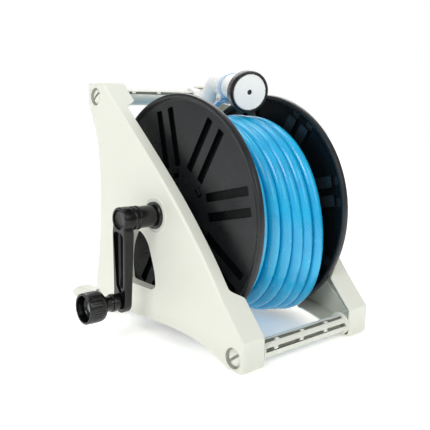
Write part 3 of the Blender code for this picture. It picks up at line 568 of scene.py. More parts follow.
def tube(name, points, radius, sides, first_side=None):
    """A round tube with closed ends on a line of points. Its UV map is metres along and one turn around.

    The radius is one number, or a list with one for each point, in millimetres."""
    radii = radius if isinstance(radius, list) else [radius] * len(points)
    runs = [(b - a).normalized() for a, b in zip(points, points[1:])]
    ways = [runs[0]] + [(a + b).normalized() for a, b in zip(runs, runs[1:])] + [runs[-1]]
    side = first_side or ways[0].orthogonal().normalized()
    bm = bmesh.new()
    uv = bm.loops.layers.uv.new("UVMap")
    rings, reach = [], [0.0]
    for a, b in zip(points, points[1:]):
        reach.append(reach[-1] + (b - a).length)
    for place, way, r in zip(points, ways, radii):
        side = (side - way * side.dot(way)).normalized()
        up = way.cross(side)
        turns = [2 * math.pi * k / sides for k in range(sides)]
        rings.append([bm.verts.new(place + (side * math.cos(t) + up * math.sin(t)) * r * MM) for t in turns])
    for i, (one, two) in enumerate(zip(rings, rings[1:])):
        for k in range(sides):
            n = (k + 1) % sides
            face = bm.faces.new((one[k], one[n], two[n], two[k]))
            marks = ((i, k), (i, k + 1), (i + 1, k + 1), (i + 1, k))
            for loop, (ring, step) in zip(face.loops, marks):
                loop[uv].uv = (reach[ring], step / sides)
    for ring in (rings[0][::-1], rings[-1]):
        face = bm.faces.new(ring)
        for k, loop in enumerate(face.loops):
            loop[uv].uv = (0.0, k / sides)
    data = bpy.data.meshes.new(name)
    bm.to_mesh(data)
    bm.free()
    piece = bpy.data.objects.new(name, data)
    bpy.context.scene.collection.objects.link(piece)
    return piece


# Settings


def length_setting(name, description, default):
    return bpy.props.FloatProperty(name=name, description=description, default=default, unit="LENGTH")


def colour_setting(name, description, hex_colour):
    colour = linear(hex_colour)[:3]
    return bpy.props.FloatVectorProperty(name=name, description=description, subtype="COLOR", default=colour)


class ReelSizes(bpy.types.PropertyGroup):
    flange_radius: length_setting(
        "Flange radius", "Radius of the drum's two discs", float(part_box("drum_left_flange")[1][1] - AXLE.y)
    )
    hose_radius: length_setting("Hose radius", "Outer radius of the hose", 0.008)
    winding_radius: length_setting("Winding radius", "Radius to the middle of the outer layer", 0.1145)
    winding_pitch: length_setting("Winding pitch", "Distance between turns of the hose", 0.0181)
    sag: length_setting("Sag", "How far the last slack turn hangs down under the drum", 0.033)
    panel_wall: length_setting("Panel wall", "Wall thickness of the side panels", 0.003)


class ReelColours(bpy.types.PropertyGroup):
    ivory: colour_setting("Panels", "Colour of the panels and bars", "#E4E6DA")
    drum: colour_setting("Drum", "Colour of the drum's discs", "#14171A")
    hose: colour_setting("Hose", "Colour of the hose", "#00C4F0")
    pale_blue: colour_setting("Nozzle parts", "Colour of the trigger and rings", "#C2DAF0")


# Stage


class HOSEREEL_OT_stage(bpy.types.Operator):
    """Sets the camera, the soft lights and the pale floor"""

    bl_idname = "hosereel.stage"
    bl_label = "Stage"

    def execute(self, context):
        forward = Vector(CAMERA_AIM).normalized()
        level = forward.cross(UP).normalized()
        rise = level.cross(forward)
        roll = math.radians(CAMERA_ROLL_DEG)
        right = level * math.cos(roll) + rise * math.sin(roll)
        up = rise * math.cos(roll) - level * math.sin(roll)
        turn = Matrix((right, up, -forward)).transposed()
        deselect()
        bpy.ops.object.camera_add(location=at(*CAMERA_PLACE), rotation=turn.to_euler())
        camera = context.object
        camera.name = "photo_camera"
        camera.data.sensor_width = 36.0
        camera.data.lens = CAMERA_LENS
        camera.data.shift_x, camera.data.shift_y = CAMERA_SHIFT
        camera.data.dof.use_dof = False
        context.scene.camera = camera

        bpy.ops.mesh.primitive_plane_add(size=9.0, location=(0, 0, -0.0004))
        floor = context.object
        floor.name = "studio_floor"
        floor.data.materials.append(MATERIALS["floor"])

        world = bpy.data.worlds.new("studio")
        world.use_nodes = True
        tree = world.node_tree
        way = add(tree, "SeparateXYZ", {"Vector": add(tree, "TexCoord").outputs["Generated"]})
        side = maths(tree, "MULTIPLY", way.outputs["X"], forward.x)
        ahead = maths(tree, "MULTIPLY_ADD", way.outputs["Y"], forward.y, side)
        glow = mapped(tree, ahead, (0.25, 0.85), (0.42, 1.0), interpolation_type="SMOOTHSTEP")
        strength = maths(tree, "MAXIMUM", glow, add(tree, "LightPath").outputs["Is Camera Ray"])
        feed(tree, tree.nodes["Background"], {"Strength": strength, "Color": (1.0, 1.0, 1.0, 1.0)})
        context.scene.world = world
        context.scene.view_settings.view_transform = "Standard"
        for name, place, target, size, power in SOFT_BOXES:
            aim = (Vector(target) - Vector(place)).to_track_quat("-Z", "Y").to_euler()
            bpy.ops.object.light_add(type="AREA", location=place, rotation=aim)
            light = context.object
            light.name = name
            light.data.shape = "SQUARE"
            light.data.size = size
            light.data.energy = power
        return {"FINISHED"}


# Hose


def wind_point(deg, sizes):
    """Centre of the hose, in degrees from the outer layer's first pass at the front, going down there."""
    pitch = sizes.winding_pitch / MM
    turns = max(deg, 0.0) / 360
    radius = sizes.winding_radius / MM - CLIMB_DROP * ease(-deg / CLIMB_DEG)
    x = WIND_FIRST_X + pitch * turns
    if deg < -CLIMB_DEG:
        x += pitch * (-CLIMB_DEG - deg) / 360
    if deg > 0:
        loose = ease((WIND_LAST_DEG - deg) / 90)
        radius += LOOSE_RADIUS * math.sin(turns * 3.1 + 0.4) * loose * ease(turns * 2)
        x += LOOSE_SIDE * math.sin(turns * 4.7) * loose
    a = math.radians(deg)
    return at(x, -radius * math.cos(a), AXLE_Z - radius * math.sin(a))


def slack(piece, sizes):
    """Lets the loose turns hang forwards and down by their weight, always on the side that is lowest."""
    deselect()
    start = at(*SLACK_MIDDLE)
    warp = piece.modifiers.new("slack", "WARP")
    places = {"object_from": start, "object_to": start + Vector(SLACK_WAY) * sizes.sag}
    for key, place in places.items():
        bpy.ops.object.empty_add(location=place, radius=0.02)
        bpy.context.object.name = key.replace("object", "slack_taken")
        setattr(warp, key, bpy.context.object)
    warp.falloff_type = "SMOOTH"
    warp.falloff_radius = SLACK_REACH


def connector():
    """The knurled collar at the grip's end that the hose is pushed into."""
    start, way = grip_line(GAP)
    line = [
        (0, 0), (11.4, 0), (12.4, 0.8), (12.4, 9), (11.9, 10), (11.8, 12), (11.6, 13), (11.2, 32),
        (10.6, 33.4), (9.4, 34), (0, 34),
    ]
    collar = lathe("hose_collar", line, start, way, 96)
    first, over = start + way * 14 * MM, way.cross(NOZZLE_ASIDE)
    outline = [first + NOZZLE_ASIDE * x * MM + over * (12.1 + z) * MM for x, z in arc((0, 0), 0.9, 0, 330, 7)]
    knurled(collar, outline, way * 17 * MM, start, way, CONNECTOR_GROOVES)
    return finished(collar, "stand", "pale_blue_plastic", "pale", "hose_connector")


def tail_route(start, way, end, end_way, straight):
    """A smooth line that leaves start along way and reaches end against end_way, straight at both ends."""
    a, b = start + way * straight, end + end_way * straight
    pull = TAIL_PULL * (b - a).length
    route = [start]
    for i in range(TAIL_STEPS + 1):
        t = i / TAIL_STEPS
        place = a * (2 * t**3 - 3 * t**2 + 1) + b * (-2 * t**3 + 3 * t**2)
        route.append(place + way * pull * (t**3 - 2 * t**2 + t) - end_way * pull * (t**3 - t**2))
    return route + [end]


class HOSEREEL_OT_hose(bpy.types.Operator):
    """Winds the hose in two layers on the drum and leads its free end up to the nozzle"""

    bl_idname = "hosereel.hose"
    bl_label = "Hose"

    def execute(self, context):
        sizes = context.scene.reel_sizes
        radius = sizes.hose_radius / MM
        first = -CLIMB_DEG - 360 * TURNS_BELOW
        count = round((WIND_LAST_DEG - first) / WIND_STEP_DEG)
        points = [wind_point(first + (WIND_LAST_DEG - first) * i / count, sizes) for i in range(count + 1)]
        a, b = math.radians(WIND_LAST_DEG), math.radians(WIND_LAST_DEG - LEAVE_DEG)
        ahead, reach = sizes.winding_pitch * LEAVE_DEG / 360, sizes.winding_radius
        forward, down = reach * (math.cos(b) - math.cos(a)), reach * (math.sin(b) - math.sin(a))
        run = Vector((ahead, forward, down)).normalized()
        straight = 2 * sizes.hose_radius
        points.append(points[-1] + run * straight)
        winding = tube("hose_on_drum", points, radius, 18)
        finished(winding, "drum", "blue_hose", "hose", "hose_winding", angle=60)
        slack(winding, sizes)

        half = LAYERS_BELOW_HALF
        ring = [(89, half), (89, -half), (54.6, -half), (54.6, half)]
        inner = lathe("hose_layers_below", ring, AXLE, SIDE_X, 96, closed=True)
        finished(inner, "drum", "blue_hose", "hose", "hose_inner_layers")

        start = points[-1] + run * GAP * MM
        end, end_run = grip_line(CONNECTOR_LENGTH + 2 * GAP)
        route = tail_route(start, run, end, end_run, straight)
        tail = tube("hose_free_end", route, radius, 24)
        finished(tail, "stand", "blue_hose", "hose", "hose_tail", angle=60)
        connector()
        return {"FINISHED"}


# Stand


def panel_outline():
    """The side panel in (y, z), from the rear toe's underside round to the arch between the feet."""
    toe = [(TOE_Y - 4, 0)] + arc((TOE_Y - 5, 5), 5, -54, 54, 6)
    toe += smooth_line([(202, 18.2), (170, 20.5), (156, 23.5)], 3)
    nose = arc((153.5, 294), 6, -20, 0, 2) + arc((155, 315), 5, 10, 90, 6)
    foot = arc((6 - FOOT_Y, 6), 6, 180, 270, 6)
    return toe + smooth_line(REAR_EDGE, 5) + nose + smooth_line(CREASE, 5) + foot + smooth_line(ARCH[::-1], 4)


def step_tool():
    """What is taken from the left panel's deep rim between nose and foot: its ends follow an S."""
    narrow, deep = PANEL_OUT - RIM_NARROW, PANEL_OUT - RIM_DEEP
    inner = deep - 5
    line = [(FOOT_STEP[0], inner)]
    for step, low, high in ((FOOT_STEP, deep, narrow), (NOSE_STEP, narrow, deep)):
        for i in range(STEP_POINTS + 1):
            t = i / STEP_POINTS
            line.append((step[0] + t * (step[1] - step[0]), low + ease(t) * (high - low)))
    line.append((NOSE_STEP[1], inner))
    along = Vector((0, math.cos(CREASE_ANGLE), math.sin(CREASE_ANGLE)))
    away = Vector((0, -math.sin(CREASE_ANGLE), math.cos(CREASE_ANGLE)))
    reach = 0.32
    outline = [AXLE + along * s * MM - SIDE_X * x * MM - away * reach for s, x in line]
    return prism("rim_tool", outline, away * 2 * reach)


def rib(start, end):
    """A stiffening rib inside the left panel between two (y, z) points."""
    a, b = Vector((0, *start)), Vector((0, *end))
    side = (b - a).normalized().cross(SIDE_X) * RIB_HALF
    outline = [(p + s)[1:] for p, s in ((a, -side), (b, -side), (b, side), (a, side))]
    return plate("rib_tool", ORIGIN, -98, outline, -11)


def panel_shell(wall):
    """The left panel's hollow shell with its edges rounded and its rim cut to its stepped depth."""
    outline = [at(-PANEL_OUT, y, z) for y, z in panel_outline()]
    depth = SIDE_X * RIM_DEEP * MM
    panel = raised("left_panel_moulding", outline, depth - SIDE_X * RIM_ROUND)
    bpy.ops.mesh.select_mode(type="FACE")
    for one, two in ((0, 30), (30, 60), (60, 90)):
        a, b = math.radians(one), math.radians(two)
        bpy.ops.mesh.inset(thickness=RIM_ROUND * (math.cos(a) - math.cos(b)), depth=0, use_even_offset=True)
        bpy.ops.transform.translate(value=SIDE_X * RIM_ROUND * (math.sin(b) - math.sin(a)))
    bpy.ops.mesh.inset(thickness=wall - RIM_ROUND, depth=0, use_even_offset=True)
    push(SIDE_X * wall - depth)
    tidy_mesh(panel)
    edit(panel)
    bpy.ops.mesh.select_mode(type="EDGE")
    bpy.ops.mesh.select_all(action="DESELECT")
    mesh = bmesh.from_edit_mesh(panel.data)
    for edge in mesh.edges:
        edge.select_set(all(abs(v.co.x - outline[0].x) < 2 * WELD for v in edge.verts))
    bmesh.update_edit_mesh(panel.data)
    bpy.ops.mesh.bevel(offset=FACE_ROUND, segments=5, affect="EDGES")
    bpy.ops.object.mode_set(mode="OBJECT")
    return boolean(panel, step_tool())


class HOSEREEL_OT_panels(bpy.types.Operator):
    """Moulds the two side panels"""

    bl_idname = "hosereel.panels"
    bl_label = "Side panels"

    def execute(self, context):
        panel = panel_shell(context.scene.reel_sizes.panel_wall)
        lip = smooth_line(WINDOW + WINDOW[:1], 5)[:-1]
        centre = np.mean(lip, axis=0)
        wide = [tuple(centre + (np.array(p) - centre) * 1.09) for p in lip]
        boss = [(0, 92.4), (13.2, 92.4), (13.4, IN_WALL), (0, IN_WALL)]
        hub = [(0, 96), (23.4, 96), (24, 97), (24.4, IN_WALL), (0, IN_WALL)]
        added = [lathe("boss", boss, mid_line(name), -SIDE_X, 48) for name in BARS]
        added += [lathe("hub", hub, AXLE, -SIDE_X, 64), plate("lip", ORIGIN, -97, wide, -12.5)]
        added += [rib((20, AXLE_Z), (131.3, AXLE_Z)), rib((-14, AXLE_Z - 12), (-14, 20))]
        added += [rib((-15, AXLE_Z - 14), (-138, 25)), rib((15, AXLE_Z + 16), (131, 292))]
        for piece in added:
            boolean(panel, piece, "UNION")

        bore = [(0, 90), (15.3, 90), (15.3, 116), (0, 116)]
        socket = [(0, 90), (8.8, 90), (8.8, 104), (3.3, 104), (3.3, 106.6), (12, 106.6), (12, 115), (0, 115)]
        taken = [plate("window", ORIGIN, -90, lip, -24), lathe("bore", bore, AXLE, -SIDE_X, 64)]
        taken += [lathe("socket", socket, mid_line(name), -SIDE_X, 48) for name in BARS]
        for piece in taken:
            boolean(panel, piece)
        ring = [(20.6, 111.3), (21.2, 112.1), (22.6, 112.1), (23.2, 111.3)]
        boolean(panel, lathe("hub_ring", ring, AXLE, -SIDE_X, 64, closed=True), "UNION")
        eased(panel, 0.45, 2, 50)
        sockets = [(middle(name) - AXLE) / MM for name in BARS]

        def in_socket(p):
            return -111.2 < p.x < -105 and any(math.hypot(p.y - c.y, p.z - c.z) < 12.15 for c in sockets)

        # Painted shade in the panel's bar sockets round the caps
        paint_recess_shade(panel, 0.6, AXLE, in_socket)
        other = copied(panel, "right_panel_moulding", across(AXLE.x))
        finished(panel, "stand", "ivory_plastic", "ivory", "left_side_panel", angle=30)
        finished(other, "stand", "ivory_plastic", "ivory", "right_side_panel", angle=30)
        return {"FINISHED"}


class HOSEREEL_OT_bars(bpy.types.Operator):
    """Turns one slotted bar and copies it to its three places"""

    bl_idname = "hosereel.bars"
    bl_label = "Slotted bars"

    def execute(self, context):
        place = mid_line(BARS[1])
        half = [
            (0, 103.4), (7.9, 103.4), (8.5, 103.2), (8.5, 92), (10.9, 92), (BAR_R, 91.6), (BAR_R, 75.7),
            (13.6, 75.7), (14.2, 75.1), (14.2, 73.3), (13.6, 72.7), (BAR_R, 72.7),
        ]
        bar = lathe("bar", mirrored(half), place, SIDE_X, 64)
        slots = []
        for row, row_deg in enumerate(SLOT_ROWS_DEG):
            start = SLOT_STARTS[row % 2] - 2 * SLOT_PITCH
            for low in (start + i * SLOT_PITCH for i in range(5)):
                low, high = max(low, -SLOTS_END), min(low + SLOT_LENGTH, SLOTS_END)
                if high - low < 2 * SLOT_WIDTH:
                    continue
                outline = slot_outline(high - low, SLOT_WIDTH, 0.8)
                points = [beside(place, (low + high) / 2 + x, -5.4, z) for x, z in outline]
                slot = prism("slot", points, Vector((0, -8, 0)) * MM)
                slot.data.transform(turn_about(place, SIDE_X, -row_deg))
                slots.append(slot)
        boolean(bar, joined(slots))
        eased(bar, 0.35, 2, 40)
        # Painted shade in the bottoms of the bar's slots
        paint_recess_shade(bar, 0.5, place, lambda p: abs(p.x) < SLOTS_END + 0.5 and math.hypot(p.y, p.z) < 10.3)
        centre = middle(BARS[1])
        for name in BARS:
            there = middle(name)
            moved = Matrix.Translation(there - centre)
            turned = turn_about(there, SIDE_X, -SLOTS_FACE_DEG[name])
            piece = copied(bar, name.split("_")[0] + "_bar", turned @ moved)
            finished(piece, "stand", "ivory_plastic", "ivory", name)
        bpy.data.objects.remove(bar, do_unlink=True)
        return {"FINISHED"}


class HOSEREEL_OT_bolts(bpy.types.Operator):
    """Makes the six slotted caps that hold the bars"""

    bl_idname = "hosereel.bolts"
    bl_label = "Cap bolts"

    def execute(self, context):
        head = [
            (0, 111.3), (3, 111.1), (6, 110.5), (8.2, 109.5), (9.8, 108.2), (10.7, 106.9), (3, 106.9),
            (3, 91), (0, 91),
        ]
        for side, sign in (("left", -1), ("right", 1)):
            slot_turn = math.radians(BOLT_SLOT_DEG[side])
            across_slot = Vector((0, -math.sin(slot_turn), math.cos(slot_turn)))
            for bar in ("top", "front", "rear"):
                node = f"{side}_{bar}_cap_bolt"
                place = mid_line(node)
                bolt = lathe(f"{side}_{bar}_cap", head, place, SIDE_X * sign, 64)
                slot = plate("slot", place, sign * 108.4, slot_outline(22, 3.2, 0.6), sign * 4)
                slot.data.transform(turn_about(place, SIDE_X, BOLT_SLOT_DEG[side]))
                boolean(bolt, slot)
                eased(bolt, 0.3, 2, 40)
                # Painted shade in the cap's screwdriver slot
                paint_recess_shade(bolt, 0.8, place, lambda p: abs(p.dot(across_slot)) < 1.7 and abs(p.x) > 107.2)
                finished(bolt, "stand", "ivory_plastic", "ivory", node)
        return {"FINISHED"}


class HOSEREEL_OT_bushes(bpy.types.Operator):
    """Turns the two bushes that the drum runs in"""

    bl_idname = "hosereel.bushes"
    bl_label = "Bearing bushes"

    def execute(self, context):
        for node, sign, collar, slot, material in (
            ("left_bearing_bush", -1, 4.0, "black_drum_plastic", "drum"),
            ("right_bearing_bush", 1, 2.0, "grey_plastic", "grey"),
        ):
            face = PANEL_OUT + GAP
            line = [(16.4, face + collar), (17, face + collar - 0.7), (17, face), (15, face)]
            line += [(15, 92), (10.4, 92), (10.4, face + collar)]
            bush = lathe(node.replace("bearing_", ""), line, AXLE, SIDE_X * sign, 80, closed=True)
            finished(bush, "stand", slot, material, node)
        return {"FINISHED"}


# Drum


class HOSEREEL_OT_flanges(bpy.types.Operator):
    """Forms one flange with its rolled rim, paired grooves and latch windows, and mirrors it"""

    bl_idname = "hosereel.flanges"
    bl_label = "Drum flanges"

    def execute(self, context):
        r = context.scene.reel_sizes.flange_radius / MM
        line = [
            (0, 74.5), (r - 8.6, 74.5), (r - 7.4, 75.0), (r - 6.2, 76.4), (r - 4.4, 77.5), (r - 2.2, 77.6),
            (r - 0.6, 76.9), (r, 75.4),
            (r, 71.2), (r - 0.6, 69.8), (r - 2.4, 69.0), (r - 5, 69.3), (r - 6.4, 70.6), (r - 7.6, 71.5),
            (0, 71.5),
        ]
        disc = lathe("left_flange_disc", line, AXLE, -SIDE_X, 160)
        bars, grooves = [], []
        for i in range(GROOVE_PAIRS):
            turn = turn_about(AXLE, SIDE_X, 180 - GROOVE_START_DEG - i * 360 / GROOVE_PAIRS)
            for offset in (-GROOVE_OFFSET, GROOVE_OFFSET):
                for shapes, grow, low, high in ((bars, 1.8, 67.6, 72.6), (grooves, 0.0, 69.0, 76.0)):
                    outline = slot_outline(GROOVE_LENGTH + 2 * grow, GROOVE_WIDTH + 2 * grow)
                    outline = [(GROOVE_MIDDLE + x, y + offset) for x, y in outline]
                    shape = plate("groove", AXLE, -low, outline, low - high)
                    shape.data.transform(turn)
                    shapes.append(shape)
        boolean(disc, joined(bars), "UNION")
        boolean(disc, joined(grooves))
        hub = [(0, 72.5), (18.8, 72.5), (18.8, 74.6), (17.6, 76), (17, 78), (17, 90.6), (16.6, 91), (0, 91)]
        boolean(disc, lathe("hub", hub, AXLE, -SIDE_X, 64), "UNION")
        boolean(disc, lathe("bore", [(0, 60), (10.35, 60), (10.35, 100), (0, 100)], AXLE, -SIDE_X, 48))
        for i in range(LATCHES):
            deg = LATCH_START_DEG + i * 360 / LATCHES
            y, z = polar(deg, LATCH_RADIUS)
            outline = [(y + a, z + b) for a, b in ((-5.3, -6), (5.3, -6), (5.3, 6), (-5.3, 6))]
            hole = plate("latch_window", AXLE, -66, outline, -12)
            hole.data.transform(turn_about(beside(AXLE, 0, y, z), SIDE_X, 180 - deg))
            boolean(disc, hole)
        eased(disc, 0.5, 2, 40)
        # Painted shade in the bottoms of the flange's grooves
        paint_recess_shade(disc, 1.0, AXLE, lambda p: -74.2 < p.x < -68.8 and 55 < math.hypot(p.y, p.z) < 136)
        other = copied(disc, "right_flange_disc", across(AXLE.x))
        finished(disc, "drum", "black_drum_plastic", "drum", "drum_left_flange", angle=30)
        finished(other, "drum", "black_drum_plastic", "drum", "drum_right_flange", angle=30)
        paint_node("drum_core", "drum")
        return {"FINISHED"}


def paint_node(node, material):
    """A CAD node whose shape is right keeps it and takes the finish."""
    piece = frame["nodes"][node]
    piece.data.materials.clear()
    piece.data.materials.append(MATERIALS[material])


# Crank


class HOSEREEL_OT_crank(bpy.types.Operator):
    """Makes the crank arm with its barrel, its cap, the pin and the turning knob"""

    bl_idname = "hosereel.crank"
    bl_label = "Crank"

    def execute(self, context):
        pivot = Vector(JOINTS["knob_spin"]["pos_m"])
        down = Vector((0, pivot.y - AXLE.y, pivot.z - AXLE.z)) / MM
        reach = down.length
        lean = math.atan2(down.y, -down.z)
        outline = arc((0, 0), ARM_HUB_R, -35, 215, 26) + [(-ARM_HUB_R + 0.8, -16)]
        outline += arc((-ARM_END_FORWARD, -reach - 0.6), ARM_END_R, 180, 360, 20) + [(ARM_END_R, -16)]
        arm = plate("arm", AXLE, -ARM_OUT, outline, ARM_THICK)
        low, tip, end = 20 - reach, 13 - reach, -reach - 20
        slope = [
            (-ARM_OUT - 0.1, 20), (-ARM_OUT - 0.1, -16), (-ARM_OUT_AT_PIN, tip), (-ARM_OUT_AT_PIN, end),
            (-180, end), (-180, 20),
        ]
        boolean(arm, prism("taper", [beside(AXLE, x, -30, z) for x, z in slope], Vector((0, 60, 0)) * MM))
        eased(arm, 1.6, 3, 50)
        barrel = [
            (0, 116.4), (12.9, 116.4), (13.5, 117), (13.5, 137.4), (14.6, 138.1), (14.8, 139.5),
            (14.6, 140.9), (13.6, 141.6),
            (13.6, 143.8), (14.6, 144.6), (14.8, 146), (14.6, 147.4), (13.6, 148.2), (13.6, 152), (0, 152),
        ]
        boolean(arm, lathe("barrel", barrel, AXLE, -SIDE_X, 64), "UNION")
        boolean(arm, lathe("recess", [(0, 160.0), (11.7, 160.0), (12.2, 170), (0, 170)], AXLE, -SIDE_X, 64))
        scoop = [
            (-11, -19), (-6, -15.6), (6, -15.6), (11, -19), (5, low), (-0.5, tip), (-2.5, tip - 1),
            (-5, tip), (-10, low),
        ]
        tool = plate("scoop", AXLE, -172, scoop, 16.4)
        eased(tool, 4.2, 5, 60)
        boolean(arm, tool)
        pin_hole = [(0, 152), (4.3, 152), (4.3, 170), (0, 170)]
        boolean(arm, lathe("pin_hole", pin_hole, beside(AXLE, 0, 0, -reach), -SIDE_X, 32))
        arm.data.transform(turn_about(AXLE, SIDE_X, math.degrees(lean)))
        finished(arm, "drum", "black_crank_plastic", "crank", "crank_arm", angle=35)

        cap = [
            (0, 161.3), (7.6, 161.4), (9.2, 162.0), (10.2, 162.9), (11.0, 162.7), (11.3, 161.9),
            (11.3, 160.4), (0, 160.4),
        ]
        cap = lathe("arm_cap", cap, AXLE, -SIDE_X, 64)
        finished(cap, "drum", "black_crank_plastic", "crank", "crank_cap")

        axis = Vector((AXLE.x, pivot.y, pivot.z))
        neck = ARM_OUT_AT_PIN + 0.4
        bell = [
            (17.4, 210), (18.6, 209.2), (18.9, 205), (18.9, 194), (18.2, 188.5), (15.4, 185.2), (11.2, 183),
            (9.8, 180), (9.4, 176), (9.6, 173),
        ]
        outside = smooth_line(bell, 3) + [(10.7, 172.6), (11.1, 171.6), (11.1, 168.4), (10.3, 167.6)]
        outside += [(10.3, neck + 1.6), (9.8, neck + 0.5), (9, neck), (4.35, neck)]
        inside = [(4.35, 197.4), (11, 197.4)] + arc((11, 202), 4.4, -80, -10, 5)
        inside += [(15.8, 209.4), (16.4, 210)]
        knob = lathe("turning_knob", outside + inside, axis, -SIDE_X, 80, closed=True)
        outline = [beside(axis, -191.5, y, 19.35 + z) for y, z in arc((0, 0), 0.8, 0, 315, 7)]
        knurled(knob, outline, Vector((-14, 0, 0)) * MM, axis, SIDE_X, KNOB_GROOVES)
        finished(knob, "knob", "black_crank_plastic", "crank", "crank_knob", angle=40)
        pin = [(0, 202), (4.6, 202), (6.2, 201.2), (6.5, 200), (6.5, 198), (4, 198), (4, 152.4), (0, 152.4)]
        finished(lathe("knob_pin_turned", pin, axis, -SIDE_X, 48), "drum", "steel", "steel", "knob_pin")
        paint_node("crank_spindle", "steel")
        return {"FINISHED"}


# Nozzle


def nozzle_frame():
    """Where the nozzle is: its own X across, Y from the dial to the rear and Z up, in the row frame."""
    back = Vector(JOINTS["dial_turn"]["axis"]).normalized()
    aside = Vector(JOINTS["trigger_pull"]["axis"]).normalized()
    turn = Matrix((aside, back, aside.cross(back))).transposed().to_4x4()
    return Matrix.Translation(JOINTS["dial_turn"]["pos_m"]) @ turn


NOZZLE = nozzle_frame()
NOZZLE_ASIDE = (NOZZLE.to_3x3() @ SIDE_X).normalized()
NOZZLE_BACK = (NOZZLE.to_3x3() @ Vector((0, 1, 0))).normalized()


def on_nozzle(x, y, z):
    """A place in millimetres in the nozzle's own frame."""
    return NOZZLE @ (Vector((x, y, z)) * MM)


def grip_line(beyond):
    """The point this many millimetres beyond the grip's end, and the direction that the grip has there."""
    way = Vector((0, math.sin(GRIP_LEAN), math.cos(GRIP_LEAN)))
    return on_nozzle(*(Vector(GRIP_END) + way * beyond)), (NOZZLE.to_3x3() @ way).normalized()


class HOSEREEL_OT_nozzle(bpy.types.Operator):
    """Makes the parked spray nozzle: body, dial, face, index ring, trigger and trigger pin"""

    bl_idname = "hosereel.nozzle"
    bl_label = "Spray nozzle"

    def execute(self, context):
        line = [
            (8.6, 12), (16.2, 12), (16.4, 19.4), (17.0, 20.4), (18.4, 21.0), (20.0, 20.8), (22.5, 19.4),
            (26, 17.8), (30, 17.2), (53.0, 17.2), (53.8, 16.6), (53.95, 15), (62.0, 15), (62.2, 16.6),
            (63, 17.2), (80, 16.8), (90, 16.2),
        ]
        grip = [
            (96, -1.0, 15.6), (103, -4.5, 15.0), (110, -13, 14.2), (115.6, -26, 13.6), (121, -39.5, 13.2),
            (128, -56, 12.9),
        ]
        spine = [(y, 0, r) for y, r in line] + smooth_line(grip, 5)
        points = [on_nozzle(0, y, z) for y, z, _ in spine]
        body = tube("nozzle_shell", points, [r for _, _, r in spine], 48, NOZZLE_ASIDE)
        y, z = TRIGGER_PIVOT[1:]
        outline = [(-6, 8), (9, 8), (6.4, 0.5), (3.6, -2.8), (0, -3.6), (-3.2, -2.8), (-5, 0.5)]
        shapes = [[on_nozzle(side, y + a, z + b) for a, b in outline] for side in (-9.0, 6.0)]
        for cheek in [prism("cheek", shape, NOZZLE_ASIDE * 3 * MM) for shape in shapes]:
            boolean(body, cheek, "UNION")
        finished(body, "stand", "white_plastic", "white", "nozzle_body", angle=34)

        here = NOZZLE.translation
        rim = [
            (0, 8.2), (12.35, 8.2), (12.35, 16), (24.6, 16), (25.8, 15.4), (26.6, 14), (27.4, 5),
            (27.3, 2.2), (26.6, 0.6), (25.4, 0), (24.4, 0.2), (23.7, 1.4), (23.7, 4), (0, 4),
        ]
        dial = lathe("dial_cup", rim, here, NOZZLE_BACK, 120)
        outline = [on_nozzle(x, 4.6, 28.2 + z) for x, z in arc((0, 0), 1.25, 0, 330, 11)]
        knurled(dial, outline, NOZZLE_BACK * 12 * MM, here, NOZZLE_BACK, DIAL_GROOVES)
        finished(dial, "dial", "black_crank_plastic", "dial", "nozzle_dial", angle=35)

        line = [
            (3.5, 3.6), (23.3, 3.6), (23.3, 1.5), (22.6, 0.8), (21.6, 0.7), (20.8, 1.1), (10, 1.1),
            (9.0, 0.7), (4.4, 0.7), (3.5, 1.2),
        ]
        face = lathe("dial_face", line, here, NOZZLE_BACK, 96, closed=True)
        finished(face, "dial", "white_plastic", "white", "nozzle_face", angle=35)

        line = [
            (17.5, 61.6), (18.3, 60.9), (18.4, 58), (18.3, 55.1), (17.5, 54.4), (15.3, 54.4), (15.3, 61.6),
        ]
        ring = lathe("index_ring", line, here, NOZZLE_BACK, 96, closed=True)
        finished(ring, "stand", "pale_blue_plastic", "pale", "nozzle_index_ring")

        upper = [(-3.5, 2.6), (3, 3.2), (11, 0.5), (21, -8.5), (29, -17), (33.5, -26), (36, -36)]
        lower = [
            (33.5, -37.5), (31.2, -36), (28.6, -27), (24.5, -19.5), (16, -11), (8, -4.6), (0, -3.4),
            (-3.5, -2),
        ]
        outline = smooth_line(upper, 3) + smooth_line(lower, 3)
        points = [on_nozzle(-LEVER_WIDTH / 2, y + a, z + b) for a, b in outline]
        lever = prism("trigger_lever", points, NOZZLE_ASIDE * LEVER_WIDTH * MM)
        eased(lever, 1.0, 3, 40)
        finished(lever, "trigger", "pale_blue_plastic", "pale", "nozzle_trigger")
        pin = mirrored([(0, 10), (2.2, 10), (2.6, 9.6), (2.6, 9.2), (1.5, 9.2)])
        pin = lathe("trigger_axle", pin, on_nozzle(*TRIGGER_PIVOT), NOZZLE_ASIDE, 32)
        finished(pin, "stand", "steel", "steel", "trigger_pin")
        return {"FINISHED"}


class HOSEREEL_OT_holder(bpy.types.Operator):
    """Finishes the clip on the top bar that takes the nozzle's grip"""

    bl_idname = "hosereel.holder"
    bl_label = "Nozzle holder"

    def execute(self, context):
        node = frame["nodes"]["nozzle_holder"]
        clip = copied(node, "grip_clip")
        edit(clip)
        bpy.ops.mesh.remove_doubles(threshold=WELD)
        bpy.ops.object.mode_set(mode="OBJECT")
        eased(clip, 0.6, 2, 50)
        finished(clip, "stand", "white_plastic", "white", "nozzle_holder", angle=40)
        return {"FINISHED"}


# Water inlet


